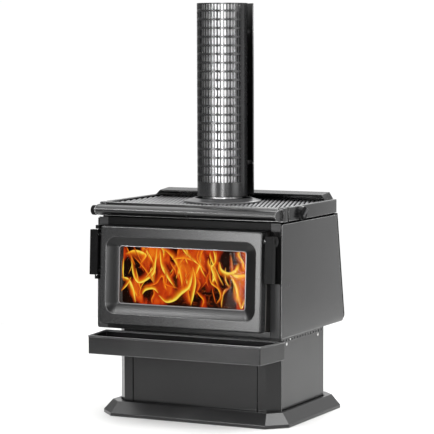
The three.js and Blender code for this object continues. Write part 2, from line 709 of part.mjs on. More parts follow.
add(doorPlane, 'hinge_lug_top', hingeLug(168, 181, 63.4), BLACK);
add(doorPlane, 'hinge_lug_bottom', hingeLug(-18, -4, 68), BLACK);
add(doorPlane, 'hinge_pin', rodZ(HINGE.pinRadius, -18, 181, -HINGE.across, HINGE.depth), STEEL);
add(doorPlane, 'latch_keeper', latchKeeper(), BLACK);

// ---------------------------------------------------------------- controls

function fanKnob() {
  const { x, y, z, radius, depth } = FAN_KNOB;
  const flange = rodX(radius, x + GAP, x + 7, y, z, 40);
  const body = new THREE.CylinderGeometry(radius - 4, radius - 1.5, 12, 40)
    .rotateZ(-Math.PI / 2).translate(x + 12, y, z);
  const grip = new THREE.BoxGeometry(13, 11, 2 * radius - 5).rotateX(-0.35).translate(x + depth - 6.5, y, z);
  const shaft = rodX(4, x - 8, x + 8, y, z, 16);
  return join(flange, body, grip, shaft);
}

function fanSwitch() {
  const { x, y, z } = FAN_KNOB;
  return cut(block([x - 36, x - FRAME.band - GAP], [y - 19, y + 19], [z - 15, z + 15]),
    rodX(4.5, x - 12, x + 5, y, z, 16));
}

// The knob pulls a rod along the nose rail, and the rod's plate slides over the air ports behind it.
function airControl() {
  const { x, y, z, radius, length } = AIR_KNOB;
  const neckLength = 4;
  const knob = lathe([
    [0, 0], [radius - 2, 0], [radius, 2], [radius, length - 3], [radius - 3, length], [0, length],
  ], 32).rotateY(-Math.PI / 2).translate(x - neckLength, y, z);
  const neck = rodX(11, x - neckLength - 1, x, y, z, 24);
  return join(knob, neck, rodX(4, x - 2, -140, y, z, 16));
}

function airSlide() {
  const { y, z } = AIR_KNOB;
  const plate = block([-200, 200], [-276, -273], [z - 11, z + 11]);
  const ears = block([-200, -184], [y - 8, -274], [z - 11, z + 11]);
  const ports = Array.from({ length: 5 }, (_, i) => {
    const centre = -140 + i * 70;
    return block([centre - 20, centre + 20], [-280, -270], [z - 6, z + 6]);
  });
  return cut(join(plate, ears), rodX(4 + GAP, -205, -130, y, z, 16), ...ports);
}

add(stove, 'fan_knob', fanKnob(), PHENOLIC);
add(stove, 'fan_switch', fanSwitch(), PHENOLIC);
add(stove, 'air_control', airControl(), PHENOLIC);
add(stove, 'air_slide', airSlide(), RAW);

export default stove;
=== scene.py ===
"""Wood burning stove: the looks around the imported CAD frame. Metres, +Z up, -Y is the stove's front."""

import json
import math
import random

import bmesh
import bpy
from mathutils import Matrix, Vector


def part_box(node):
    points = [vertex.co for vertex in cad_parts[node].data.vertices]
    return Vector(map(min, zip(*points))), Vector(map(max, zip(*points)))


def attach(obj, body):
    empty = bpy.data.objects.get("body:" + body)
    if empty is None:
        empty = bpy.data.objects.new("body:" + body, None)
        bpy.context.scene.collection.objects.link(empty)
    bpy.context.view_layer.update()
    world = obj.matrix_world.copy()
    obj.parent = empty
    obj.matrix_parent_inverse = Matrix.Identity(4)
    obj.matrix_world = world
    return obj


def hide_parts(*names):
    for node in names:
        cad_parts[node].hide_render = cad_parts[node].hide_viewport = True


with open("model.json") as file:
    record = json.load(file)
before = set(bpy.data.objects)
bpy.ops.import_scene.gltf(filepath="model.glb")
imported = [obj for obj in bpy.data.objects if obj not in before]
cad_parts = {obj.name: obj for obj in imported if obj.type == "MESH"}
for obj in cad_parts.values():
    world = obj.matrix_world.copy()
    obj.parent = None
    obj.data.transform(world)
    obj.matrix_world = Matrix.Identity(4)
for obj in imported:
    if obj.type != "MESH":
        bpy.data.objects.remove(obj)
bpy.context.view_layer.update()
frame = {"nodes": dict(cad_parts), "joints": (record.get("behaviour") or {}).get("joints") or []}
NODES = frame["nodes"]
MM = 0.001


# ---------------------------------------------------------------- camera and studio

CAMERA_PLACE = Vector((3.4671, -7.0032, 1.3883))
CAMERA_AXES = ((0.895061, 0.445936, -0.002735), (-0.03486, 0.076082, 0.996492))  # right and up
SENSOR_MM, LENS_MM = 36.0, 172.89954


def make_camera():
    data = bpy.data.cameras.new("camera")
    data.sensor_width = SENSOR_MM
    data.lens = LENS_MM
    data.clip_end = 100
    camera = bpy.data.objects.new("camera", data)
    right, up = (Vector(axis).normalized() for axis in CAMERA_AXES)
    camera.matrix_world = basis(CAMERA_PLACE, right, up, right.cross(up))
    bpy.context.scene.collection.objects.link(camera)
    bpy.context.scene.camera = camera


def area_light(name, place, target, size, power):
    data = bpy.data.lights.new(name, "AREA")
    data.shape = "RECTANGLE"
    data.size, data.size_y = size
    data.energy = power
    lamp = bpy.data.objects.new(name, data)
    lamp.location = place
    aim = Vector(target) - Vector(place)
    lamp.rotation_euler = aim.to_track_quat("-Z", "Y").to_euler()
    bpy.context.scene.collection.objects.link(lamp)


# Brightness of the studio by direction: from its front to its back, left to right, and floor to ceiling.
WORLD_BY_DEPTH = [(0.0, 0.14), (0.5, 0.14), (0.72, 0.25), (0.8, 0.5), (0.87, 0.98), (1.0, 1.06)]
WORLD_BY_SIDE = [(0.0, 1.0), (0.48, 1.0), (0.6, 0.8), (1.0, 0.8)]
WORLD_BY_HEIGHT = [(0.0, 0.16), (0.6, 0.14), (0.85, 0.25), (1.0, 0.7)]
SOFT_BOXES = (
    # name, place, target, width and height, power
    ("overhead", (0, 0.8, 4.4), (0, 0.8, 0), (8.0, 8.0), 340),
    ("right_wall", (3.3, -0.2, 1.1), (0, 0, 0.6), (1.8, 2.2), 32),
    ("front_box", (-0.7, -2.8, 0.8), (0, -0.3, 0.6), (0.6, 1.3), 36),
    ("behind_camera", (3.75, -7.6, 1.6), (0, 0, 0.9), (0.7, 2.6), 330),
    ("strip_right", (2.6, -2.4, 0.9), (0, -0.2, 0.6), (0.15, 1.8), 8),
    ("spark_left", (-1.9, -2.6, 3.2), (0, -0.2, 0.6), (0.3, 0.3), 36),
    ("spark_right", (2.6, -2.2, 3.0), (0, -0.2, 0.6), (0.3, 0.3), 12),
    ("high_left_front", (-1.4, -2.3, 2.5), (0, -0.3, 0.5), (1.6, 0.8), 30),
    ("high_right", (1.5, -0.1, 2.8), (0.2, -0.1, 0.3), (1.0, 1.2), 20),
    ("high_back", (0.3, 2.4, 2.8), (0, 0, 0.8), (2.5, 1.2), 60),
)


def fill_ramp(node, stops):
    """Gives a colour ramp its stops, each a place and a colour."""
    elements = node.color_ramp.elements
    while len(elements) < len(stops):
        elements.new(0.5)
    for element, (place, colour) in zip(elements, stops):
        element.position = place
        element.color = (*colour, 1)


def world_level(tree, direction, axis, stops):
    """Brightness along one axis of the view direction, which runs from -1 to 1."""
    half = tree.nodes.new("ShaderNodeMapRange")
    half.inputs["From Min"].default_value = -1
    tree.links.new(direction.outputs[axis], half.inputs["Value"])
    ramp = tree.nodes.new("ShaderNodeValToRGB")
    fill_ramp(ramp, [(place, (level, level, level)) for place, level in stops])
    tree.links.new(half.outputs["Result"], ramp.inputs["Fac"])
    return ramp.outputs["Color"]


def make_studio():
    """White studio, brightest behind the stove, with soft boxes around and above it."""
    world = bpy.data.worlds.new("studio")
    world.use_nodes = True
    tree = world.node_tree
    direction = tree.nodes.new("ShaderNodeSeparateXYZ")
    tree.links.new(tree.nodes.new("ShaderNodeTexCoord").outputs["Generated"], direction.inputs[0])
    level = world_level(tree, direction, "Y", WORLD_BY_DEPTH)
    for operation, axis, stops in (("MULTIPLY", "X", WORLD_BY_SIDE), ("MAXIMUM", "Z", WORLD_BY_HEIGHT)):
        step = tree.nodes.new("ShaderNodeMath")
        step.operation = operation
        tree.links.new(level, step.inputs[0])
        tree.links.new(world_level(tree, direction, axis, stops), step.inputs[1])
        level = step.outputs[0]
    background = tree.nodes["Background"]
    background.inputs["Color"].default_value = (1, 1, 1, 1)
    tree.links.new(level, background.inputs["Strength"])
    bpy.context.scene.world = world
    bpy.context.scene.view_settings.view_transform = "Standard"
    for box in SOFT_BOXES:
        area_light(*box)


# ---------------------------------------------------------------- materials


SURFACE = {"metallic": "Metallic", "gloss": "Specular IOR Level", "roughness": "Roughness", "alpha": "Alpha",
           "glow": "Emission Strength"}


class Shader:
    """A material under construction, with short ways to add and join nodes."""

    def __init__(self, name):
        self.material = bpy.data.materials.new(name)
        self.material.use_nodes = True
        self.tree = self.material.node_tree
        self.surface = self.tree.nodes["Principled BSDF"]
        self.place = self.made("ShaderNodeTexCoord", "Object")

    def join(self, start, end):
        self.tree.links.new(start, end)

    def made(self, kind, output, joins=(), **values):
        """One output of a new node, with some inputs joined and its other values set by name."""
        node = self.tree.nodes.new(kind)
        for key, value in values.items():
            if hasattr(node, key):
                setattr(node, key, value)
            else:
                node.inputs[key].default_value = value
        for socket, source in joins:
            self.join(source, node.inputs[socket])
        return node.outputs[output]

    def fix(self, **levels):
        """Sets plain values on the surface itself."""
        for name, level in levels.items():
            self.surface.inputs[SURFACE[name]].default_value = level

    def stretched(self, scale, turn=(0, 0, 0), shift=(0, 0, 0)):
        return self.made("ShaderNodeMapping", "Vector", [("Vector", self.place)],
                         Scale=scale, Rotation=turn, Location=shift)

    def noise(self, scale, detail=3.0, roughness=0.5, vector=None):
        return self.made("ShaderNodeTexNoise", "Fac", [("Vector", vector or self.place)],
                         Scale=scale, Detail=detail, Roughness=roughness)

    def ramp(self, value, stops):
        colour = self.made("ShaderNodeValToRGB", "Color", [("Fac", value)])
        fill_ramp(colour.node, stops)
        return colour

    def spread(self, value, low, high):
        limits = {"To Min": low, "To Max": high}
        return self.made("ShaderNodeMapRange", "Result", [("Value", value)], **limits)

    def maths(self, operation, first, second, clamp=False):
        result = self.made("ShaderNodeMath", 0, operation=operation, use_clamp=clamp)
        for socket, value in zip(result.node.inputs, (first, second)):
            if isinstance(value, (int, float)):
                socket.default_value = value
            else:
                self.join(value, socket)
        return result

    def bump(self, height, strength, distance):
        normal = self.made("ShaderNodeBump", "Normal", [("Height", height)],
                           Strength=strength, Distance=distance)
        self.join(normal, self.surface.inputs["Normal"])

    def colour(self, output):
        self.join(output, self.surface.inputs["Base Color"])

    def roughness(self, value, low, high):
        self.join(self.spread(value, low, high), self.surface.inputs["Roughness"])

    def glow(self, output, strength):
        self.join(output, self.surface.inputs["Emission Color"])
        self.fix(glow=strength)


def grey(level):
    return (level, level, level * 1.03)


EDGE_REACH = 2.8 * MM
TURN_TO_MASK = (-0.1, 6.0)  # a flat face gives less than 0 and a square edge more than 1


def paint_edge_highlight(shader, paint, tone):
    """The paint, lightened to a grey where the surface turns a corner within EDGE_REACH: a painted highlight
    along every edge.
    """
    rounded = shader.made("ShaderNodeBevel", "Normal", samples=6, Radius=EDGE_REACH)
    flat = shader.made("ShaderNodeNewGeometry", "Normal")
    agree = shader.made("ShaderNodeVectorMath", "Value", [(0, rounded), (1, flat)], operation="DOT_PRODUCT")
    mask = shader.spread(shader.maths("SUBTRACT", 1.0, agree), *TURN_TO_MASK)
    highlighted = shader.made("ShaderNodeMix", 2, [(0, mask), (6, paint)], data_type="RGBA", clamp_factor=True)
    highlighted.node.inputs[7].default_value = (tone, tone, tone, 1)
    return highlighted


def painted_sheet(name, dark, light, rough, grain=900, metallic=0.0, gloss=0.85, edge_highlight=0.0):
    """Stove paint on steel: mottle, fine sprayed grain, slow changes of sheen, and if asked a painted
    highlight that lightens its edges.
    """
    shader = Shader(name)
    mottle = shader.noise(7, 4, 0.6)
    fleck = shader.noise(grain, 2, 0.7)
    mixed = shader.maths("ADD", shader.maths("MULTIPLY", mottle, 0.7), shader.maths("MULTIPLY", fleck, 0.3))
    paint = shader.ramp(mixed, [(0.3, grey(dark)), (0.7, grey(light))])
    shader.colour(paint_edge_highlight(shader, paint, edge_highlight) if edge_highlight else paint)
    shader.roughness(shader.noise(11, 3), *rough)
    shader.bump(fleck, 0.12, 0.25 * MM)
    shader.fix(metallic=metallic, gloss=gloss)
    return shader.material


def cast_metal(name, dark, light, rough, gloss, pitting=0.16, edge_highlight=0.0):
    """Painted casting: coarser grain than sheet, with soft hollows from the mould, and if asked a painted
    highlight that lightens its edges.
    """
    shader = Shader(name)
    grain = shader.noise(520, 5, 0.65)
    hollows = shader.noise(38, 3, 0.5)
    height = shader.maths("ADD", shader.maths("MULTIPLY", hollows, 0.6), grain)
    paint = shader.ramp(shader.noise(9, 5, 0.6), [(0.3, grey(dark)), (0.72, grey(light))])
    shader.colour(paint_edge_highlight(shader, paint, edge_highlight) if edge_highlight else paint)
    shader.roughness(grain, *rough)
    shader.bump(height, pitting, 0.5 * MM)
    shader.fix(gloss=gloss)
    return shader.material


def stainless(name, streak, rough):
    """Brushed stainless steel with its grain along one axis and faint patches of heat tint."""
    shader = Shader(name)
    brushed = shader.noise(1.0, 4, 0.7, shader.stretched(streak))
    tints = [(0.3, (0.62, 0.61, 0.6)), (0.6, (0.7, 0.7, 0.71)), (0.8, (0.66, 0.63, 0.58))]
    shader.colour(shader.ramp(shader.noise(3.5, 2, 0.5), tints))
    shader.roughness(brushed, *rough)
    shader.bump(brushed, 0.05, 0.3 * MM)
    shader.fix(metallic=1.0)
    return shader.material


def fired_steel(name):
    """Bare firebox steel: scale, soot and ash dust."""
    shader = Shader(name)
    scale = shader.noise(60, 6, 0.7)
    soots = [(0.3, grey(0.012)), (0.55, (0.05, 0.046, 0.043)), (0.75, (0.12, 0.105, 0.095))]
    shader.colour(shader.ramp(shader.noise(5, 4, 0.6), soots))
    shader.roughness(scale, 0.6, 0.9)
    shader.bump(scale, 0.4, 1 * MM)
    return shader.material


def firebrick(name):
    """Pressed firebrick with mortar lines between bricks and soot drifting over them."""
    shader = Shader(name)
    along = shader.stretched((1, 1, 1), (math.pi / 2, 0, 0))
    brick = shader.made("ShaderNodeTexBrick", "Color", [("Vector", along)], Color1=(0.42, 0.31, 0.2, 1),
                        Color2=(0.34, 0.25, 0.17, 1), Mortar=(0.12, 0.1, 0.085, 1), Scale=1.0,
                        **{"Brick Width": 0.23, "Row Height": 0.115, "Mortar Size": 2.5 * MM})
    soot = shader.ramp(shader.noise(6, 5, 0.65), [(0.35, (0.16, 0.15, 0.14)), (0.75, (1, 1, 1))])
    sooted = shader.made("ShaderNodeMix", "Result", data_type="RGBA", blend_type="MULTIPLY", Factor=1.0)
    shader.join(brick, sooted.node.inputs["A"])
    shader.join(soot, sooted.node.inputs["B"])
    shader.colour(sooted.node.outputs["Result"])
    shader.fix(roughness=0.95)
    joints = shader.maths("MULTIPLY", brick.node.outputs["Fac"], -2.0)
    shader.bump(shader.maths("ADD", shader.noise(220, 4, 0.7), joints), 0.5, 1.2 * MM)
    return shader.material


def phenolic(name):
    """Moulded black knob: glossy, with a faint orange peel and a haze of wear."""
    shader = Shader(name)
    peel = shader.noise(160, 2, 0.5)
    shader.colour(shader.ramp(shader.noise(30, 4), [(0.3, grey(0.002)), (0.8, grey(0.006))]))
    shader.roughness(shader.noise(45, 4), 0.1, 0.2)
    shader.bump(peel, 0.05, 0.4 * MM)
    shader.fix(gloss=0.25)
    return shader.material


def braided_rope(name):
    """Woven glass rope: a diagonal weave from two crossing waves."""
    shader = Shader(name)
    crossing = [shader.stretched((1, 1, 1), (0.3, turn, 0)) for turn in (0.7, -0.7)]
    weaves = [shader.made("ShaderNodeTexWave", "Fac", [("Vector", place)], wave_profile="SIN", Scale=110)
              for place in crossing]
    weave = shader.maths("MAXIMUM", *weaves)
    shader.colour(shader.ramp(weave, [(0.2, (0.1, 0.095, 0.085)), (0.9, (0.34, 0.33, 0.3))]))
    shader.fix(roughness=0.95)
    shader.bump(weave, 0.8, 1 * MM)
    return shader.material


def window_glass(name):
    """Ceramic glass: clear, faintly amber, with a patchy smoke film."""
    shader = Shader(name)
    smoke = [(0.3, (0.012, 0.008, 0.005)), (0.8, (0.03, 0.02, 0.012))]
    shader.colour(shader.ramp(shader.noise(12, 3), smoke))
    shader.roughness(shader.noise(25, 3), 0.03, 0.09)
    shader.fix(alpha=0.06, gloss=0.35)
    return shader.material


def charred_log(name):
    """Burning log: charcoal plates split by glowing cracks."""
    shader = Shader(name)
    crack = shader.made("ShaderNodeTexVoronoi", "Distance", [("Vector", shader.stretched((0.45, 1, 1)))],
                        feature="DISTANCE_TO_EDGE", Scale=42)
    char = [(0.0, (0.02, 0.008, 0.005)), (0.15, (0.03, 0.027, 0.025)), (0.5, (0.13, 0.12, 0.115))]
    heat = [(0.0, (1.0, 0.2, 0.02)), (0.06, (0.5, 0.03, 0.002)), (0.14, (0, 0, 0))]
    shader.colour(shader.ramp(crack, char))
    shader.fix(roughness=0.95)
    shader.glow(shader.ramp(crack, heat), 2.5)
    shader.bump(crack, 1.0, 4 * MM)
    return shader.material


def glowing_embers(name):
    """Ember bed: grey ash crust over orange heat."""
    shader = Shader(name)
    crust = shader.noise(55, 6, 0.7)
    shader.colour(shader.ramp(crust, [(0.35, (0.02, 0.015, 0.012)), (0.7, (0.3, 0.28, 0.26))]))
    heat = [(0.3, (1.0, 0.3, 0.03)), (0.48, (0.6, 0.06, 0.004)), (0.58, (0, 0, 0))]
    shader.glow(shader.ramp(crust, heat), 3.0)
    shader.fix(roughness=0.95)
    shader.bump(crust, 1.0, 3 * MM)
    return shader.material


FLAME_HEAT = [(0.0, (0.003, 0.0, 0.0)), (0.12, (0.02, 0.001, 0.0)), (0.28, (0.2, 0.011, 0.002)),
              (0.45, (0.56, 0.045, 0.004)), (0.62, (0.8, 0.13, 0.007)), (0.78, (0.95, 0.3, 0.012)),
              (0.9, (1.0, 0.52, 0.03)), (1.0, (1.0, 0.76, 0.09))]


def burning(shader, heat, cover, strength):
    """Joins a heat value, 0 to 1, and how far it hides what is behind it to the material's output."""
    colour = shader.ramp(heat, FLAME_HEAT)
    fire = shader.made("ShaderNodeEmission", "Emission", [("Color", colour)], Strength=strength)
    clear = shader.made("ShaderNodeBsdfTransparent", "BSDF")
    mixed = shader.made("ShaderNodeMixShader", "Shader", [("Fac", cover), (1, clear), (2, fire)])
    shader.join(mixed, shader.tree.nodes["Material Output"].inputs["Surface"])
    return shader.material


def flame_veil(name, shift, strength, level, hiding):
    """A sheet of red fire with upright folds and dark gaps."""
    shader = Shader(name)
    place = shader.stretched((15, 1, 8.5), shift=(shift, 0, shift * 0.7))
    stir = shader.made("ShaderNodeTexNoise", "Color", [("Vector", place)], Scale=0.9)
    curl = shader.made("ShaderNodeVectorMath", "Vector", [(0, stir), (2, place)], operation="MULTIPLY_ADD")
    curl.node.inputs[1].default_value = (2.2, 0, 1.6)
    gaps = shader.spread(shader.noise(1.0, 1.0, 0.4, curl), -2.1, 2.8)
    folds = shader.spread(shader.noise(2.6, 2.0, 0.5, curl), -0.4, 0.9)
    lit = shader.maths("MULTIPLY", gaps, level, True)
    heat = shader.maths("ADD", lit, shader.maths("MULTIPLY", folds, 0.3))
    heat = shader.maths("MULTIPLY", heat, shader.maths("MULTIPLY", gaps, 3.0, True), True)
    cover = shader.maths("MAXIMUM", shader.maths("MULTIPLY", heat, 5.0, True), hiding)
    return burning(shader, heat, cover, strength)


def flame_ribbons(name, strength):
    """Tongues of flame whose heat and cover come from their own mesh."""
    shader = Shader(name)
    warmth, cover = (shader.made("ShaderNodeAttribute", "Fac", attribute_name=layer)
                     for layer in ("warmth", "cover"))
    flicker = shader.spread(shader.noise(1.0, 2.0, 0.5, shader.stretched((70, 1, 22))), 0.7, 1.3)
    return burning(shader, shader.maths("MULTIPLY", warmth, flicker, True), cover, strength)


def plain_floor(name):
    shader = Shader(name)
    shader.colour(shader.ramp(shader.noise(2, 2), [(0.3, (0.66, 0.66, 0.655)), (0.7, (0.7, 0.7, 0.695))]))
    shader.fix(roughness=0.8)
    return shader.material


# Charcoal stove paint; its edges are lightened as a painted highlight.
CHARCOAL = painted_sheet("charcoal_paint", 0.005, 0.009, (0.2, 0.3), gloss=0.5, edge_highlight=0.4)
# Darker, less glossy copy of the charcoal paint for faces turned to the front: painted shade.
FRONT_SHADE_PAINT = painted_sheet("front_shade_paint", 0.004, 0.007, (0.18, 0.28), gloss=0.33)
RAIL_PAINT = painted_sheet("rail_paint", 0.004, 0.007, (0.2, 0.3), gloss=0.45)
# Lighter copy of the stove paint for the corner plates beside the door: painted light.
PLATE_LIT_PAINT = painted_sheet("plate_lit_paint", 0.016, 0.024, (0.36, 0.5), gloss=0.3)
# Near-black, dull copy of the stove paint for the fascia under the top rail: painted shade.
FASCIA_SHADE_PAINT = painted_sheet("fascia_shade_paint", 0.002, 0.004, (0.36, 0.5), gloss=0.1)
# Darker, duller copy of the stove paint for backs, inner sheets and dark screws: painted shade.
SHADED = painted_sheet("shaded_black_paint", 0.002, 0.005, (0.36, 0.5), gloss=0.25)
# Darker, duller copy of the stove paint for the hood: painted shade.
HOOD_SHADE_PAINT = painted_sheet("hood_shade_paint", 0.003, 0.006, (0.22, 0.32), gloss=0.17)
# Black without sheen, for the well under the hob ribs, the frame's inner skirt and the gap behind each corner
# post: painted shade.
PAINTED_SHADE_BLACK = painted_sheet("painted_shade_black", 0.002, 0.004, (0.7, 0.9), gloss=0.0)
# Light grey for the hob ribs: painted sheen of the light they reflect at a grazing angle.
HOB_SHEEN_PAINT = painted_sheet("hob_sheen_paint", 0.12, 0.18, (0.25, 0.34))
GUARD_PAINT = painted_sheet("guard_enamel", 0.02, 0.032, (0.22, 0.32), 700, 0.4)
# Door paint; its last figure lightens the edges as a painted highlight.
DOOR_PAINT = cast_metal("door_paint", 0.007, 0.012, (0.22, 0.32), 0.5, 0.07, 0.3)
# Darker, duller copy of the door paint for the recess around the window: painted shade.
RECESS_SHADE_PAINT = cast_metal("recess_shade_paint", 0.004, 0.008, (0.24, 0.34), 0.22, 0.04)
BLACK_CAST = cast_metal("black_casting", 0.003, 0.006, (0.3, 0.42), 0.05)
COLLAR_CAST = cast_metal("collar_casting", 0.025, 0.045, (0.25, 0.36), 0.5)
PIPE_STEEL = stainless("flue_stainless", (260, 260, 1.5), (0.38, 0.52))
BRIGHT_STEEL = stainless("bright_steel", (90, 400, 400), (0.2, 0.32))
FIRED = fired_steel("fired_steel")
BRICK = firebrick("firebrick")
KNOB = phenolic("phenolic_black")
# Darker, duller copy of the knob plastic for the fan knob's face and the air knob: painted shade.
KNOB_SHADE_PAINT = painted_sheet("phenolic_matt_shaded", 0.002, 0.004, (0.5, 0.65), 500, gloss=0.08)
# Light grey for the bead around the pane: painted highlight on its lip.
BEAD_HIGHLIGHT_PAINT = painted_sheet("bead_highlight_paint", 0.16, 0.22, (0.25, 0.35), 700, 0.3)
# Grey for the grip on the black knob: painted light on it, with its edges lightened as a painted highlight.
GRIP_LIT_PAINT = painted_sheet("grip_lit_grey", 0.02, 0.032, (0.25, 0.35), 500, gloss=0.3, edge_highlight=0.3)
ROPE = braided_rope("seal_rope")
GLASS = window_glass("ceramic_glass")
CHAR = charred_log("charred_log")
EMBERS = glowing_embers("embers")


# ---------------------------------------------------------------- mesh helpers


def new_object(name, bm, smooth_angle=32, weighted=False):
    mesh = bpy.data.meshes.new(name)
    bmesh.ops.recalc_face_normals(bm, faces=bm.faces)
    bm.to_mesh(mesh)
    bm.free()
    mesh.shade_smooth()
    mesh.set_sharp_from_angle(angle=math.radians(smooth_angle))
    piece = bpy.data.objects.new(name, mesh)
    bpy.context.scene.collection.objects.link(piece)
    if weighted:
        modifier = piece.modifiers.new("weighted_normals", "WEIGHTED_NORMAL")
        modifier.keep_sharp = True
    return piece


def settle(piece, material, body, slot, *nodes):
    """Gives a finished piece its material, its body and the nodes it stands for; its slot argument is not
    used.
    """
    piece.data.materials.clear()
    piece.data.materials.append(material)
    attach(piece, body)
    if nodes:
        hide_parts(*nodes)
    return piece


def second_material(piece, material, chosen):
    """Gives the chosen faces of a settled piece another material."""
    piece.data.materials.append(material)
    for face in piece.data.polygons:
        face.material_index = int(chosen(face))


def thicken(piece, thickness):
    piece.modifiers.new("sheet", "SOLIDIFY").thickness = thickness


def cad_copy(node):
    """The node's mesh with its facets merged back into whole flat faces."""
    bm = bmesh.new()
    bm.from_mesh(NODES[node].data)
    bmesh.ops.remove_doubles(bm, verts=bm.verts, dist=2e-6)
    bmesh.ops.dissolve_limit(bm, angle_limit=math.radians(1.5), verts=bm.verts, edges=bm.edges)
    return bm


def round_edges(bm, width, segments=2, sharper_than=40):
    limit = math.radians(sharper_than)
    edges = [e for e in bm.edges if len(e.link_faces) == 2 and e.calc_face_angle(0) > limit]
    bmesh.ops.bevel(bm, geom=edges, offset=width, segments=segments, profile=0.5,
                    affect="EDGES", clamp_overlap=True)


def soften(node, width, material, body, slot, segments=2, sharper_than=40):
    """The node with its edges rounded, standing in for the sharp one."""
    bm = cad_copy(node)
    round_edges(bm, width, segments, sharper_than)
    piece = new_object(node + "_finished", bm, weighted=True)
    return settle(piece, material, body, slot, node)


def restyle(node, material):
    """A node whose shape is right keeps it and takes a better material."""
    mesh = NODES[node].data
    mesh.materials.clear()
    mesh.materials.append(material)


def add_loft(bm, rings, loop=False, capped=False):
    """Quads between rings of matching points. loop joins the last ring to the first."""
    rows = [[bm.verts.new(p) for p in ring] for ring in rings]
    pairs = list(zip(rows, rows[1:]))
    if loop:
        pairs.append((rows[-1], rows[0]))
    for low, high in pairs:
        count = len(low)
        for i in range(count):
            j = (i + 1) % count
            bm.faces.new((low[i], low[j], high[j], high[i]))
    if capped:
        bm.faces.new(rows[0])
        bm.faces.new(list(reversed(rows[-1])))
    return rows


def add_quads(bm, lines):
    """Open quads between rows of matching vertices."""
    for low, high in zip(lines, lines[1:]):
        for i in range(len(low) - 1):
            bm.faces.new((low[i], low[i + 1], high[i + 1], high[i]))


def circle(matrix, radius, height, facets):
    """Points around the matrix's Z axis; radius is a number or a function of the angle."""
    points = []
    for i in range(facets):
        angle = 2 * math.pi * i / facets
        reach = radius(angle) if callable(radius) else radius
        points.append(matrix @ Vector((reach * math.cos(angle), reach * math.sin(angle), height)))
    return points


def add_box(bm, low, high, matrix=None):
    low, high = Vector(low), Vector(high)
    made = bmesh.ops.create_cube(bm, size=1)["verts"]
    place = Matrix.Translation((low + high) / 2) @ Matrix.Diagonal((*(high - low), 1))
    bmesh.ops.transform(bm, matrix=(matrix or Matrix.Identity(4)) @ place, verts=made)
    return made


AXIS = 0.1 * MM  # the ends of a turned profile stay this far off its axis


def add_turned(bm, profile, matrix, facets=48, closed=False):
    """A profile of (radius, height) turned about the matrix's Z axis; closed joins its two ends."""
    rings = [circle(matrix, radius, height, facets) for radius, height in profile]
    add_loft(bm, rings, loop=closed, capped=not closed)


def arc(centre, radius, start, end, steps):
    """Points of an arc between two angles in degrees."""
    points = []
    for i in range(steps + 1):
        angle = math.radians(start + (end - start) * i / steps)
        points.append((centre[0] + radius * math.cos(angle), centre[1] + radius * math.sin(angle)))
    return points


def rounded_outline(half, bottom, top, radius, steps=8):
    """Points (across, up) of a rectangle with round corners, the same number for any size."""
    radius = max(radius, 1e-5)
    centres = [(half - radius, bottom + radius, -90), (half - radius, top - radius, 0),
               (radius - half, top - radius, 90), (radius - half, bottom + radius, 180)]
    return [point for across, up, start in centres
            for point in arc((across, up), radius, start, start + 90, steps)]


def basis(origin, x, y, z):
    matrix = Matrix((x, y, z)).transposed().to_4x4()
    matrix.translation = origin
    return matrix


def facing(origin, direction, up=Vector((0, 0, 1))):
    """A matrix whose Z axis points along direction."""
    z = Vector(direction).normalized()
    side = up.cross(z)
    x = side.normalized() if side.length > 1e-4 else Vector((1, 0, 0))
    return basis(Vector(origin), x, z.cross(x), z)


# The leaning door's own axes: across, in and up, from the hinge that it swings on.
swing = next(j for j in frame["joints"] if j["name"] == "door_swing")
HINGE_ACROSS, HINGE_DEPTH = -0.357, 0.030
UP = -Vector(swing["axis"])
ACROSS = Vector((1, 0, 0))
INWARD = UP.cross(ACROSS)
DOOR_ORIGIN = Vector(swing["pos_m"]) - ACROSS * HINGE_ACROSS - INWARD * HINGE_DEPTH
DOOR_PLANE = basis(DOOR_ORIGIN, ACROSS, INWARD, UP)


def on_door(across, inward, up):
    """A point given in millimetres in the door's own axes."""
    return DOOR_PLANE @ Vector((across * MM, inward * MM, up * MM))


# ---------------------------------------------------------------- door

# outlines in the door's plane: half width, bottom, top and corner radius, in millimetres
RIM = (329, -179.9, 179.9, 9)
RECESS = (304, -141, 142, 40)
RECESS_FOOT = (263, -105, 110, 5)
PANE_EDGE = (257, -102, 107.5, 9)
POCKET = (271, -116, 121.5, 6)
SEAL_EDGE = (313, -165, 165, 25)
ROPE_LINE = (306, -158, 158, 18)


def between(first, second, share):
    return tuple(a + (b - a) * share for a, b in zip(first, second))


def inset(outline, amount):
    half, bottom, top, radius = outline
    return (half - amount, bottom + amount, top - amount, max(radius - amount, 0.5))


PANE_RIM = inset(POCKET, 1)


def door_piece(name, section, smooth_angle=32, weighted=False, capped=False):
    """A piece lofted through outlines in the door's plane, each with its depth in millimetres."""
    rings = [[on_door(x, depth, z) for x, z in rounded_outline(*outline)] for outline, depth in section]
    bm = bmesh.new()
    add_loft(bm, rings, loop=not capped, capped=capped)
    return new_object(name, bm, smooth_angle, weighted)


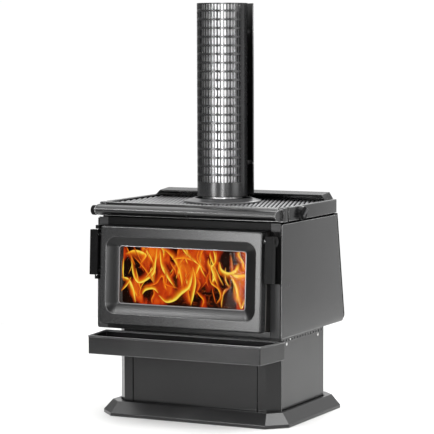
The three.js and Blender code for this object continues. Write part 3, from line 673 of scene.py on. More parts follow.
def door_frame():
    """Casting with a rolled rim, a flat border, a splayed recess and a stepped lip for the pane."""
    roll, back = 5, 41
    section = [(RIM, back), (RIM, roll)]
    for i in range(1, 6):
        angle = math.radians(90 * i / 5)
        section.append((inset(RIM, roll * (1 - math.cos(angle))), roll * (1 - math.sin(angle))))
    section.append((inset(RIM, roll + 1.0), 0))
    section += [(inset(RECESS, amount), depth)
                for amount, depth in ((-3.0, 0), (-2.0, 0), (-0.6, 0.3), (0.6, 1.1))]
    for share, depth in ((0.07, 2.6), (0.3, 7.2), (0.55, 11.6), (0.8, 15.2), (0.93, 16.8)):
        section.append((between(RECESS, RECESS_FOOT, share), depth))
    section += [(RECESS_FOOT, 17.6), (between(RECESS_FOOT, PANE_EDGE, 0.8), 18.6), (PANE_EDGE, 20.4),
                (PANE_EDGE, 29.2), (inset(PANE_EDGE, -1), 30), (POCKET, 30), (POCKET, 36.2),
                (SEAL_EDGE, 36.2), (SEAL_EDGE, back)]
    piece = door_piece("door_casting", section, 38, weighted=True)
    settle(piece, DOOR_PAINT, "door", "cast_iron", "door_frame")
    to_door = DOOR_PLANE.inverted()

    def splayed(face):
        across, depth, up = to_door @ face.center / MM
        return 1.1 < depth < 20 and abs(across) < RECESS[0] and RECESS[1] < up < RECESS[2]

    # The recess faces take the darker copy of the door paint as painted shade.
    second_material(piece, RECESS_SHADE_PAINT, splayed)


def rope_seal():
    """Round rope laid in the channel around the back of the door."""
    depth, half_width, thick = 44.6, 5.9, 7.6
    path = rounded_outline(*ROPE_LINE)
    bm = bmesh.new()
    rings = []
    for i, (x, z) in enumerate(path):
        before, after = Vector(path[i - 1]), Vector(path[(i + 1) % len(path)])
        along = (after - before).normalized()
        out = Vector((along.y, -along.x))
        ring = []
        for k in range(14):
            angle = 2 * math.pi * k / 14
            sideways = half_width * math.cos(angle)
            ring.append(on_door(x + out.x * sideways, depth + thick * math.sin(angle), z + out.y * sideways))
        rings.append(ring)
    add_loft(bm, rings, loop=True)
    settle(new_object("rope_seal_braid", bm, 60), ROPE, "door", "rope", "door_rope_seal")


def pane():
    glass = door_piece("window_pane", [(PANE_RIM, 30.4), (PANE_RIM, 34.2)], capped=True)
    settle(glass, GLASS, "door", "ceramic_glass", "door_glass")


def glass_clip():
    """Flat retainer with rounded edges that holds the glass from behind."""
    edge, front, back, rounding = PANE_RIM, 34.6, 37.6, 0.8
    section = [(edge, back), (edge, front + rounding), (inset(edge, rounding), front),
               (inset(PANE_EDGE, -rounding), front), (PANE_EDGE, front + rounding), (PANE_EDGE, back)]
    settle(door_piece("glass_clip_ring", section), FIRED, "door", "firebox_steel", "glass_retainer")


PIVOT_DEPTH, PIVOT_UP = 26.3, 147.6  # where the bars' bosses sit in the door's axes
BOSS_FACE = 373.1  # and how far across their outer faces are


def bar(name, side, body, node):
    """The handle's bar and boss with a cap; the hinge side has the same form, mirrored."""
    bm = cad_copy(node)
    round_edges(bm, 1.6 * MM, 3, 50)
    settle(new_object(name, bm, 34, weighted=True), BLACK_CAST, body, "cast_iron", node)
    bm = bmesh.new()
    disc = facing(on_door(side * BOSS_FACE, PIVOT_DEPTH, PIVOT_UP), ACROSS * side)
    profile = [(AXIS, 0.0), (10.5 * MM, 0.0), (11.2 * MM, 0.8 * MM), (10.4 * MM, 1.6 * MM), (AXIS, 2.2 * MM)]
    add_turned(bm, profile, disc, 36)
    settle(new_object(name + "_cap", bm), BLACK_CAST, body, "cast_iron")


def shaft_collar(name, start, depth, body):
    """Bright bush between the door's edge and the bar."""
    bm = bmesh.new()
    profile = [(AXIS, 0), (7.5 * MM, 0), (8 * MM, 0.6 * MM), (8 * MM, 1.0 * MM), (AXIS, 1.1 * MM)]
    add_turned(bm, profile, facing(on_door(start, depth, PIVOT_UP), ACROSS), 28)
    settle(new_object(name, bm), BRIGHT_STEEL, body, "stainless")


def window_bead():
    """Slim trim around the pane's opening, light grey as a painted highlight on the lip."""
    section = [(inset(PANE_EDGE, amount), depth)
               for amount, depth in ((-2.2, 20.2), (-2.4, 18.2), (-0.8, 17.4), (0.6, 18.8), (0.8, 21.0))]
    settle(door_piece("window_bead", section, 50), BEAD_HIGHLIGHT_PAINT, "door", "stainless")


def make_door():
    door_frame()
    pane()
    rope_seal()
    glass_clip()
    window_bead()
    bar("hinge_bar_finished", -1, "door", "hinge_bar")
    bar("handle_finished", 1, "handle", "handle_lever")
    shaft_collar("handle_bush", 329.5, PIVOT_DEPTH, "handle")
    shaft_collar("hinge_bush", -340.2, 14, "door")
    restyle("handle_shaft", BRIGHT_STEEL)
    restyle("hinge_pin", BRIGHT_STEEL)
    for node in ("hinge_lug_top", "hinge_lug_bottom", "latch_keeper"):
        soften(node, 1.2 * MM, BLACK_CAST, "stove", "cast_iron", 2, 50)


# ---------------------------------------------------------------- pedestal, plinth and shelf


SEAM = 2.6 * MM  # gap left on each side of the pedestal's front panel


def make_base():
    soften("plinth_skirt", 2.0 * MM, CHARCOAL, "stove", "charcoal_sheet", 3, 20)
    restyle("base_plate", SHADED)
    restyle("pedestal_back", SHADED)
    for side in ("right", "left"):
        soften("pedestal_side_" + side, 0.5 * MM, CHARCOAL, "stove", "charcoal_sheet")
        soften("pedestal_corner_" + side, 0.9 * MM, FRONT_SHADE_PAINT, "stove", "charcoal_sheet", 3, 25)
    bm = cad_copy("pedestal_front")
    for vertex in bm.verts:
        vertex.co.x -= math.copysign(SEAM, vertex.co.x)
    round_edges(bm, 0.9 * MM, 2)
    settle(new_object("pedestal_front_seamed", bm, weighted=True), FRONT_SHADE_PAINT, "stove", "charcoal_sheet",
           "pedestal_front")


def shelf_plan(grow, height):
    """The tray's outline, grown outwards, at one height; its front is narrower than its back."""
    low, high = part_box("ash_shelf")
    front_half = 0.3506 + grow
    back_half = high.x + grow
    return [Vector((-front_half, low.y - grow, height)), Vector((front_half, low.y - grow, height)),
            Vector((back_half, high.y + grow, height)), Vector((-back_half, high.y + grow, height))]


def make_shelf():
    """Folded tray with a rolled hem around its rim."""
    low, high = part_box("ash_shelf")
    wall, hem = 2 * MM, 5.0 * MM
    bm = bmesh.new()
    profile = [(-3.4 * MM, low.z), (-1.7 * MM, low.z + 0.8 * MM), (-0.9 * MM, low.z + 2.4 * MM),
               (-0.9 * MM, high.z - hem), (-0.3 * MM, high.z - 0.7 * hem), (0, high.z - 0.4 * hem),
               (-0.5 * MM, high.z), (-wall - hem * 0.6, high.z), (-wall - hem, high.z - 0.4 * hem),
               (-wall - hem * 0.8, high.z - hem), (-wall, high.z - 1.15 * hem), (-wall, low.z + wall)]
    add_loft(bm, [shelf_plan(grow, height) for grow, height in profile], capped=True)
    upright_edges = [e for e in bm.edges if abs(e.verts[0].co.z - e.verts[1].co.z) > 0.03]
    bmesh.ops.bevel(bm, geom=upright_edges, offset=4.5 * MM, segments=5, profile=0.5, affect="EDGES")
    piece = new_object("ash_shelf_folded", bm, 40, weighted=True)
    settle(piece, CHARCOAL, "stove", "charcoal_sheet", "ash_shelf")


# ---------------------------------------------------------------- casing


def round_off(radius, along):
    """How far a corner of this radius stands back from its square at a place along one edge."""
    return radius - math.sqrt(radius ** 2 - (radius - along) ** 2) if along < radius else 0.0


SHADOW_GAP = 5 * MM  # dark line between the side sheets and the top frame
BACK_CORNER = 22 * MM  # radius of the casing's lower back corners
CASING_TOP_FRONT, CASING_TOP_BACK = -0.284, 0.221


def casing_side(side):
    """Side sheet: a plain front edge with a rounded lower corner, and a back edge folded in."""
    node = "casing_side_" + ("right" if side > 0 else "left")
    low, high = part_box(node)
    face = abs(high.x if side > 0 else low.x)
    thick, edge, bend, corner = 1.8 * MM, 0.9 * MM, 0.018, 0.010

    def outline(front, back):
        outside = [(face - edge, front), (face, front + edge)]
        outside += arc((face - bend, back - bend), bend, 0, 90, 6)
        outside.append((face - bend - 0.006, back))
        inside = [(face - thick + edge * 0.5, front), (face - thick, front + edge)]
        inside += arc((face - bend, back - bend), bend - thick, 0, 90, 6)
        inside.append((face - bend - 0.006, back - thick))
        return outside + inside[::-1]

    bm = bmesh.new()
    rings = []
    for lift in (0, 0.0008, 0.0025, 0.005, corner, BACK_CORNER, high.z - low.z - SHADOW_GAP):
        share = lift / (high.z - low.z)
        front = low.y + (CASING_TOP_FRONT - low.y) * share + round_off(corner, lift)
        back = high.y + (CASING_TOP_BACK - high.y) * share - round_off(BACK_CORNER, lift)
        rings.append([Vector((side * x, y, low.z + lift)) for x, y in outline(front, back)])
    add_loft(bm, rings, capped=True)
    settle(new_object(node + "_folded", bm, 35), CHARCOAL, "stove", "charcoal_sheet", node)


def corner_plate(side):
    """Corner plate beside the door, with its cut-out and a rounded outer edge, clear of the side sheet."""
    node = "corner_plate_" + ("right" if side > 0 else "left")
    bm = cad_copy(node)
    limit = 0.3712  # how far out the plate may reach
    for vertex in bm.verts:
        if abs(vertex.co.x) > limit:
            vertex.co.x = math.copysign(limit, vertex.co.x)
    round_edges(bm, 0.7 * MM, 3, 50)
    settle(new_object(node + "_trimmed", bm, weighted=True), PLATE_LIT_PAINT, "stove", "charcoal_sheet", node)


def handle_recess(side):
    """Pressed pocket behind the cut-out of a corner plate, black as painted shade inside the cut-out."""
    bm = bmesh.new()
    front, depth = -0.2865, 0.040
    inner, outer, bottom, top = 0.3405, 0.3735, 0.5235, 0.6985
    corners = [(inner, bottom), (outer, bottom), (outer, top), (inner, top)]
    rings = [[Vector((side * x, y, z)) for x, z in corners] for y in (front, front + depth)]
    rows = add_loft(bm, rings)
    bm.faces.new(rows[1])
    piece = new_object("handle_recess_" + ("right" if side > 0 else "left"), bm)
    thicken(piece, 1.2 * MM)
    settle(piece, SHADED, "stove", "black_sheet")


def rounded_corners(node, radius, chosen):
    """A CAD sheet in the shaded black paint with some of its corners rounded; chosen says which short edges
    are corners.
    """
    bm = cad_copy(node)
    corners = [edge for edge in bm.edges
               if edge.calc_length() < radius and all(chosen(vertex.co) for vertex in edge.verts)]
    bmesh.ops.bevel(bm, geom=corners, offset=radius, segments=6, profile=0.5, affect="EDGES")
    settle(new_object(node + "_rounded", bm, 30), SHADED, "stove", "black_sheet", node)


def make_casing():
    for side in (1, -1):
        casing_side(side)
        corner_plate(side)
        handle_recess(side)
    soften("fascia_upper", 0.6 * MM, FASCIA_SHADE_PAINT, "stove", "charcoal_sheet")
    soften("fascia_lower", 0.6 * MM, FRONT_SHADE_PAINT, "stove", "charcoal_sheet")
    low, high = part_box("fascia_upper")
    hem_front, clearance = -0.3335, 2 * MM
    bm = bmesh.new()
    add_box(bm, (low.x + clearance, hem_front, low.z - 1.2 * MM), (high.x - clearance, low.y, low.z))
    settle(new_object("fascia_hem", bm), FASCIA_SHADE_PAINT, "stove", "charcoal_sheet")
    low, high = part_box("casing_back")
    edge, foot = high.x - 2 * MM, low.z + 4 * MM
    rounded_corners("casing_back", BACK_CORNER, lambda at: abs(at.x) > edge and at.z < foot)
    low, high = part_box("casing_floor")
    side_edge, rear = high.x - 2 * MM, high.y - 2 * MM
    rounded_corners("casing_floor", 0.026, lambda at: abs(at.x) > side_edge and at.y > rear)


# ---------------------------------------------------------------- top frame, hob and hood

BAND_START = -0.222  # where each side band starts, behind the gap at the front corner
POST_BACK = -0.236
WALL, FLANGE = 0.003, 0.016


def wall_path(half, start, back, fold, corner, steps=6):
    """(point, outward) pairs along the side and back walls, from the right front end to the left one."""
    right = [(Vector((half - fold - FLANGE, start)), Vector((0, -1)))]
    turns = ((half - fold, start + fold, fold, -90), (half - corner, back - corner, corner, 0))
    for x, y, radius, first in turns:
        for out in (Vector(point) for point in arc((0, 0), 1, first, first + 90, steps)):
            right.append((Vector((x, y)) + out * radius, out))
    left = [(Vector((-p.x, p.y)), Vector((-n.x, n.y))) for p, n in reversed(right)]
    return right + left


def make_top_frame():
    """Flat frame: walls folded in at their front ends, a top flange and a corner post on each side."""
    low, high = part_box("top_frame")
    skirt_top = 0.747
    section = [(WALL, skirt_top), (0.0008, skirt_top), (0, skirt_top + 0.0008), (0, high.z - 0.003),
               (0.0005, high.z - 0.0012), (0.0014, high.z - 0.0003), (WALL, high.z),
               (WALL, skirt_top + 0.001)]
    bm = bmesh.new()
    rings = []
    for point, out in wall_path(high.x, BAND_START, high.y, 0.006, 0.012):
        rings.append([Vector((*(point - out * depth), z)) for depth, z in section])
    add_loft(bm, rings, capped=True)
    top = high.z - 0.0002
    inner_x, inner_front, inner_back = high.x - FLANGE, low.y + FLANGE, high.y - FLANGE
    for side in (1, -1):
        strip = sorted((side * inner_x, side * (high.x - 0.001)))
        add_box(bm, (strip[0], BAND_START + 0.004, top - WALL), (strip[1], inner_back, top))
        post = sorted((side * 0.352, side * high.x))
        made = add_box(bm, (post[0], low.y, skirt_top), (post[1], POST_BACK, high.z))
        edges = [e for e in {e for v in made for e in v.link_edges}
                 if min(v.co.z for v in e.verts) > skirt_top + 0.001
                 or abs(e.verts[0].co.z - e.verts[1].co.z) > 0.01]
        bmesh.ops.bevel(bm, geom=edges, offset=0.0035, segments=4, profile=0.5, affect="EDGES")
    add_box(bm, (-0.353, low.y, skirt_top), (0.353, low.y + WALL, high.z - 0.0004))
    add_box(bm, (-0.353, low.y + 0.002, top - WALL), (0.353, inner_front, top))
    add_box(bm, (-high.x + 0.008, inner_back, top - WALL), (high.x - 0.008, high.y - 0.001, top))
    piece = settle(new_object("top_frame_folded", bm, 38), CHARCOAL, "stove", "charcoal_sheet", "top_frame")
    # Faces across the gap behind each corner post are painted black as the shade in the gap.
    second_material(piece, PAINTED_SHADE_BLACK, lambda face: abs(face.normal.y) > 0.7
                    and POST_BACK - 0.5 * MM < face.center.y < BAND_START + 0.5 * MM)

    # Inner skirt, black as painted shade behind the frame's gaps.
    bm = bmesh.new()
    shallow, deep = 0.009, 0.012
    for side in (1, -1):
        sides = sorted((side * (high.x - shallow), side * (high.x - deep)))
        add_box(bm, (sides[0], low.y + shallow, low.z), (sides[1], high.y - shallow, top - WALL))
    for y in (low.y + shallow, high.y - deep):
        add_box(bm, (-high.x + shallow, y, low.z), (high.x - shallow, y + 0.003, skirt_top + 0.004))
    settle(new_object("top_frame_skirt", bm, 38), PAINTED_SHADE_BLACK, "stove", "black_sheet")


RIB_PITCH, RIB_WIDTH = 0.0155, 0.0095
RIB_LEAN = 0.37  # sideways travel per length


def make_hob():
    """Louvred hob: slim ribs set on a slant over a black well that paints the shade between them, with a
    clear ring for the flue collar.
    """
    low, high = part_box("hob_grille")
    edge = 0.0135
    x0, x1, y0, y1 = low.x + edge, high.x - edge, low.y + edge, high.y - edge
    ring = 0.128
    along = Vector((-RIB_LEAN, 1)).normalized()
    across = Vector((along.y, -along.x))
    step = RIB_PITCH / across.x
    bm = bmesh.new()
    start = x0 - RIB_LEAN * (y1 - y0)
    count = int((x1 - start + RIB_LEAN * (y1 - y0)) / step)
    for k in range(count + 1):
        foot = Vector((start + k * step, y0))
        spans = clip_rib(foot, along, (x0, x1, y0, y1), ring)
        for begin, end in spans:
            if end - begin > 0.01:
                add_rib(bm, foot + along * begin, foot + along * end, across, high.z)
    settle(new_object("hob_ribs", bm, 35), HOB_SHEEN_PAINT, "stove", "charcoal_sheet", "hob_grille")

    def to_edge(angle):
        """Distance from the flue's axis to the hob's edge."""
        end = high.y if math.sin(angle) > 0 else -low.y
        return min(high.x / max(abs(math.cos(angle)), 1e-6), end / max(abs(math.sin(angle)), 1e-6))

    # Black sheet under the ribs: painted shade between them.
    bm = bmesh.new()
    floor, hole, flat = low.z + 0.5 * MM, 0.1225, Matrix.Identity(4)
    add_loft(bm, [circle(flat, to_edge, floor, 64), circle(flat, hole, floor, 64)])
    well = new_object("hob_well", bm)
    thicken(well, 0.4 * MM)
    settle(well, PAINTED_SHADE_BLACK, "stove", "black_sheet")


def clip_rib(foot, along, limits, ring):
    """The lengths of a rib that lie inside the hob's rectangle and outside the collar's ring."""
    x0, x1, y0, y1 = limits
    begin, end = 0.0, (y1 - y0) / along.y
    first, second = sorted(((x0 - foot.x) / along.x, (x1 - foot.x) / along.x))
    begin, end = max(begin, first), min(end, second)
    if end <= begin:
        return []
    nearest = -foot.dot(along)
    miss = (foot + along * nearest).length
    if miss >= ring:
        return [(begin, end)]
    half = math.sqrt(ring * ring - miss * miss)
    return [(begin, min(end, nearest - half)), (max(begin, nearest + half), end)]


def add_rib(bm, begin, end, across, top):
    """One rib: a low ridge with a crowned top."""
    half = [(0.5, -0.0036), (0.46, -0.0018), (0.34, -0.0006), (0.15, 0.0)]
    section = [(-share, height) for share, height in half] + half[::-1]
    rings = []
    for point in (begin, end):
        ring = []
        for share, height in section:
            flat = point + across * (share * RIB_WIDTH)
            ring.append(Vector((flat.x, flat.y, top + height)))
        rings.append(ring)
    add_loft(bm, rings, capped=True)


def nose_outline(grow, steps=16):
    low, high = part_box("front_rail")
    middle = (low.z + high.z) / 2
    rise = (high.z - low.z) / 2 + grow
    reach = 0.034
    centre = low.y + reach
    points = [(high.y, middle - rise)]
    for i in range(steps + 1):
        angle = -math.pi / 2 - math.pi * i / steps
        points.append((centre + (reach + grow) * math.cos(angle), middle + rise * math.sin(angle)))
    points.append((high.y, middle + rise))
    return points


def make_nose():
    low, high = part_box("front_rail")
    bm = bmesh.new()
    loop = nose_outline(0) + nose_outline(-0.0025)[::-1]
    rings = [[Vector((x, y, z)) for y, z in loop] for x in (low.x, high.x)]
    add_loft(bm, rings, capped=True)
    settle(new_object("nose_rail", bm, 30), RAIL_PAINT, "stove", "charcoal_sheet", "front_rail")
    for side in ("right", "left"):
        soften("rail_end_" + side, 0.9 * MM, CHARCOAL, "stove", "charcoal_sheet", 2, 35)


def make_hood():
    """Low hood with its top sheet folded over sloping ends, a front lip and a guide strip in the outlet."""
    soften("rear_air_hood", 0.9 * MM, HOOD_SHADE_PAINT, "stove", "charcoal_sheet", 2, 25)
    low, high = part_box("rear_air_hood")
    bm = bmesh.new()
    add_box(bm, (low.x + 0.06, low.y + 0.018, 0.8045), (high.x - 0.06, low.y + 0.0195, 0.8125))
    for x in (-0.29, -0.1, 0.1, 0.29):
        add_box(bm, (x - 0.004, low.y + 0.0195, 0.799), (x + 0.004, low.y + 0.028, 0.813))
    settle(new_object("hood_guide", bm), HOOD_SHADE_PAINT, "stove", "charcoal_sheet")


# ---------------------------------------------------------------- flue

SLOT_PITCH_DEG = 7.32
SLOT_COLUMNS = 20
SLOT_ROWS = 21
ROW_PITCH = 0.032
SLOT_HEIGHT, SLOT_WIDTH = 0.026, 0.0073
FIRST_ROW = 0.867


def slotted_guard():
    """Perforated tube: round-ended slots in rows across the front, plain sheet behind."""
    low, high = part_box("flue_guard")
    radius = high.x
    pitch = math.radians(SLOT_PITCH_DEG)
    start = -math.pi / 2 - pitch * SLOT_COLUMNS / 2
    half = SLOT_WIDTH / 2 / radius
    end_rise = SLOT_WIDTH / 2
    bm = bmesh.new()
    corner = {}

    def vertex(angle, height):
        key = (round(angle, 6), round(height, 6))
        if key not in corner:
            corner[key] = bm.verts.new((radius * math.cos(angle), radius * math.sin(angle), height))
        return corner[key]

    def patch(points):
        unique = list(dict.fromkeys(vertex(*p) for p in points))
        if len(unique) > 2:
            bm.faces.new(unique)

    heights = [low.z]
    for row in range(SLOT_ROWS):
        bottom = FIRST_ROW + row * ROW_PITCH
        top = min(bottom + SLOT_HEIGHT, high.z - 0.004)
        heights += [bottom, bottom + 0.3 * end_rise, bottom + end_rise]
        heights += [top - end_rise, top - 0.3 * end_rise, top]
    heights.append(high.z)
    opening = [0.0] + [0.0, 0.71 * half, half, half, 0.71 * half, 0.0] * SLOT_ROWS + [0.0]
    for column in range(SLOT_COLUMNS):
        left = start + column * pitch
        right = left + pitch
        middle = (left + right) / 2
        for z0, z1, w0, w1 in zip(heights, heights[1:], opening, opening[1:]):
            patch([(left, z0), (middle - w0, z0), (middle - w1, z1), (left, z1)])
            patch([(middle + w0, z0), (right, z0), (right, z1), (middle + w1, z1)])
    plain = 46  # facets in the sheet behind the slots
    sweep = 2 * math.pi - pitch * SLOT_COLUMNS
    first = start + pitch * SLOT_COLUMNS
    for i in range(plain):
        a0 = first + sweep * i / plain
        a1 = first + sweep * (i + 1) / plain
        if i == plain - 1:
            a1 = start
        for z0, z1 in zip(heights, heights[1:]):
            patch([(a0, z0), (a1, z0), (a1, z1), (a0, z1)])
    bmesh.ops.recalc_face_normals(bm, faces=bm.faces)
    bmesh.ops.solidify(bm, geom=bm.faces[:], thickness=1.2 * MM)
    piece = new_object("flue_guard_slotted", bm, 40)
    radial_normals(piece)
    settle(piece, GUARD_PAINT, "stove", "black_sheet", "flue_guard")


def radial_normals(piece):
    """Gives curved faces about the Z axis exact cylinder normals; other faces keep their own."""
    mesh = piece.data
    normals = []
    for polygon in mesh.polygons:
        flat = polygon.normal
        centre = polygon.center
        out = Vector((centre.x, centre.y, 0)).normalized()
        turned = out.dot(flat)
        for index in polygon.loop_indices:
            place = mesh.vertices[mesh.loops[index].vertex_index].co
            radial = Vector((place.x, place.y, 0)).normalized()
            normals.append(radial * math.copysign(1, turned) if abs(turned) > 0.9 else flat.copy())
    mesh.normals_split_custom_set(normals)


def turned_piece(name, profile, material, slot, *nodes):
    bm = bmesh.new()
    add_turned(bm, profile, Matrix.Identity(4), 96, closed=True)
    settle(new_object(name, bm, 35), material, "stove", slot, *nodes)


def make_flue():
    slotted_guard()
    low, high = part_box("flue_pipe")
    outer, inner = high.x, high.x - 1.5 * MM
    turned_piece("flue_liner", [(inner, low.z), (outer, low.z), (outer, high.z), (inner, high.z)],
                 PIPE_STEEL, "stainless", "flue_pipe")
    low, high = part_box("flue_collar")
    rim = high.x
    cone = [(0.104, high.z - 0.002), (0.120, low.z), (rim, low.z), (rim, low.z + 0.0035),
            (rim - 0.0008, low.z + 0.005), (rim - 0.003, low.z + 0.0062), (rim - 0.010, low.z + 0.0075),
            (rim - 0.022, low.z + 0.0102), (0.112, high.z + 0.0005), (0.107, high.z + 0.0022),
            (0.104, high.z + 0.002)]
    turned_piece("flue_collar_coned", cone, COLLAR_CAST, "cast_iron", "flue_collar")
    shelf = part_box("flue_guard")[0].z
    inner, outer, bottom, top = 0.0765, 0.0925, shelf - 0.0025, shelf + 0.0015
    turned_piece("guard_base_ring", [(inner, bottom), (outer, bottom), (outer, top), (inner, top)],
                 SHADED, "black_sheet")
    low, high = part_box("flue_spigot")
    outer, inner = high.x, high.x - 3.6 * MM
    turned_piece("flue_spigot_turned", [(inner, low.z), (outer, low.z), (outer, high.z - 0.001),
                                        (outer - 0.001, high.z), (inner, high.z)], BLACK_CAST, "cast_iron",
                 "flue_spigot")
    flue_shield()
    restyle("flue_spacer", BRIGHT_STEEL)


SHIELD_RADIUS = 0.118


def flue_shield():
    """Rear heat shield: an arc of sheet on four stand-offs."""
    low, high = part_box("flue_shield")
    bm = bmesh.new()
    add_quads(bm, [[bm.verts.new((x, y, z)) for x, y in arc((0, 0), SHIELD_RADIUS, 10, 170, 56)]
                   for z in (low.z, high.z)])
    piece = new_object("flue_shield_arc", bm, 40)
    thicken(piece, 1.2 * MM)
    settle(piece, SHADED, "stove", "black_sheet", "flue_shield")
    bm = bmesh.new()
    for z in (0.930, 1.420):
        for degrees in (40, 140):
            turn = Matrix.Rotation(math.radians(degrees), 4, "Z")
            add_box(bm, (0.0953, -0.007, z), (0.117, 0.007, z + 0.016), turn)
    round_edges(bm, 0.6 * MM)
    settle(new_object("flue_shield_standoffs", bm), SHADED, "stove", "black_sheet")


# ---------------------------------------------------------------- controls


def fan_knob():
    """Knob with a lobed skirt, a domed face and a raised grip set on a slant."""
    low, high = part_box("fan_knob")
    centre = Vector((low.x, (low.y + high.y) / 2, (low.z + high.z) / 2))
    radius = (high.y - low.y) / 2
    matrix = facing(centre, ACROSS)
    facets, lobes = 160, 16

    def lobed(share, hollow):
        return lambda angle: radius * (share - hollow * (0.5 + 0.5 * math.cos(lobes * angle)) ** 2)

    # share of the radius, height in millimetres and depth of the hollows between lobes
    skirt = [(0.93, 0.0, 0.0), (0.985, 0.8, 0.02), (0.995, 2.0, 0.035), (0.985, 15.5, 0.06),
             (0.94, 17.5, 0.05), (0.93, 18.3, 0.0), (0.92, 19.5, 0.0), (0.9, 24.0, 0.0)]
    face = [(0.9, 24.0, 0.0), (0.9, 24.5, 0.0), (0.86, 26.0, 0.0), (0.6, 26.6, 0.0), (0.3, 26.8, 0.0)]
    for name, profile, material in (("skirt", skirt, KNOB), ("face", face, KNOB_SHADE_PAINT)):
        rings = [circle(matrix, lobed(share, hollow), height * MM, facets)
                 for share, height, hollow in profile]
        bm = bmesh.new()
        add_loft(bm, rings, capped=True)
        settle(new_object("fan_knob_" + name, bm, 50), material, "fan_dial", "phenolic", "fan_knob")

    bm = bmesh.new()
    turn = Matrix.Translation(centre) @ Matrix.Rotation(-0.9, 4, "X")
    add_box(bm, (0.025, -0.0046, -radius * 0.86), (high.x - low.x - 0.0002, 0.0046, radius * 0.86), turn)
    round_edges(bm, 1.8 * MM, 3)
    settle(new_object("fan_knob_grip", bm, 40, weighted=True), GRIP_LIT_PAINT, "fan_dial", "phenolic")


def air_knob():
    """Round pull knob on a necked rod."""
    low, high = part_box("air_control")
    middle = (low + high) / 2
    matrix = facing(Vector((-0.3695, middle.y, middle.z)), -ACROSS)
    # radius and height in millimetres: the rod, the neck and the knob
    profile = [(0, -228), (4.0, -228), (4.0, 0), (11.0, 0.3), (11.0, 3.6), (15.8, 4.0), (17.6, 5.0),
               (18.4, 7.2), (18.4, 17.5), (17.6, 20.4), (15.4, 22.3), (10.5, 23.1), (0, 23.5)]
    bm = bmesh.new()
    add_turned(bm, [(max(r * MM, AXIS), h * MM) for r, h in profile], matrix, 64)
    settle(new_object("air_knob_turned", bm, 50), KNOB_SHADE_PAINT, "air_pull", "phenolic", "air_control")
    restyle("air_slide", FIRED)


# ---------------------------------------------------------------- firebox, fire and fan


def make_firebox():
    soften("firebox_front", 1.5 * MM, FIRED, "stove", "cast_iron", 3, 50)
    for node in ("firebox_side_right", "firebox_side_left", "firebox_back", "firebox_floor", "firebox_top",
                 "baffle_plate", "log_retainer"):
        restyle(node, FIRED)
    for node in ("brick_side_right", "brick_side_left", "brick_back", "brick_floor"):
        soften(node, 2.0 * MM, BRICK, "stove", "firebrick")


def make_log(name, start, end, radius, seed):
    """A log with a wavering bark surface and sawn ends."""
    draw = random.Random(seed)
    start, end = Vector(start), Vector(end)
    axis = (end - start).normalized()
    matrix = facing(start, axis)
    length = (end - start).length
    facets, steps = 28, 22
    waves = [(draw.uniform(2, 7), draw.uniform(0, 6.28), draw.uniform(0.02, 0.06)) for _ in range(4)]

    def bark(along):
        def reach(angle):
            swell = sum(size * math.sin(round(wave) * angle + phase + along * 14 * size * wave)
                        for wave, phase, size in waves)
            return radius * (1 + swell + draw.uniform(-0.03, 0.03))
        return reach

    places = [length * step / steps for step in range(steps + 1)]
    bm = bmesh.new()
    add_loft(bm, [circle(matrix, bark(along), along, facets) for along in places], capped=True)
    settle(new_object(name, bm, 50), CHAR, "stove", "firebrick")


def ember_bed():
    """A low heap of broken embers over the floor bricks."""
    draw = random.Random(11)
    bm = bmesh.new()
    columns, rows = 60, 30
    x0, x1, y0, y1, base = -0.235, 0.235, -0.262, 0.075, 0.3895
    grid = []
    for j in range(rows + 1):
        row = []
        for i in range(columns + 1):
            x = x0 + (x1 - x0) * i / columns
            y = y0 + (y1 - y0) * j / rows
            edge = min(i, columns - i, j, rows - j)
            lift = 0.0 if edge == 0 else min(edge / 5, 1) * (0.010 + draw.uniform(0, 0.012))
            row.append(bm.verts.new((x, y, base + lift)))
        grid.append(row)
    add_quads(bm, grid)
    rim = [grid[0][i] for i in range(columns, -1, -1)] + [grid[j][0] for j in range(1, rows + 1)]
    rim += [grid[rows][i] for i in range(1, columns + 1)]
    rim += [grid[j][columns] for j in range(rows - 1, 0, -1)]
    bm.faces.new(rim)
    settle(new_object("ember_bed", bm, 25), EMBERS, "stove", "firebrick")


def flame_sheet(name, material, half, low, high, depth, sway, tips):
    """A wavy upright sheet whose top edge, where it is free, breaks into tongues."""
    bm = bmesh.new()
    columns, rows = 96, 40
    lines = []
    for j in range(rows + 1):
        rise = j / rows
        line = []
        for i in range(columns + 1):
            share = 2 * i / columns - 1
            tongue = 1 - tips * (0.5 + 0.5 * math.sin(share * 13 + 1.7 * math.sin(share * 5)))
            across = share * half
            inward = depth + sway * math.sin(share * 9 + rise * 4)
            line.append(bm.verts.new(on_door(across, inward, low + (high - low) * rise * tongue)))
        lines.append(line)
    add_quads(bm, lines)
    settle(new_object(name, bm, 60), material, "stove", "firebrick")


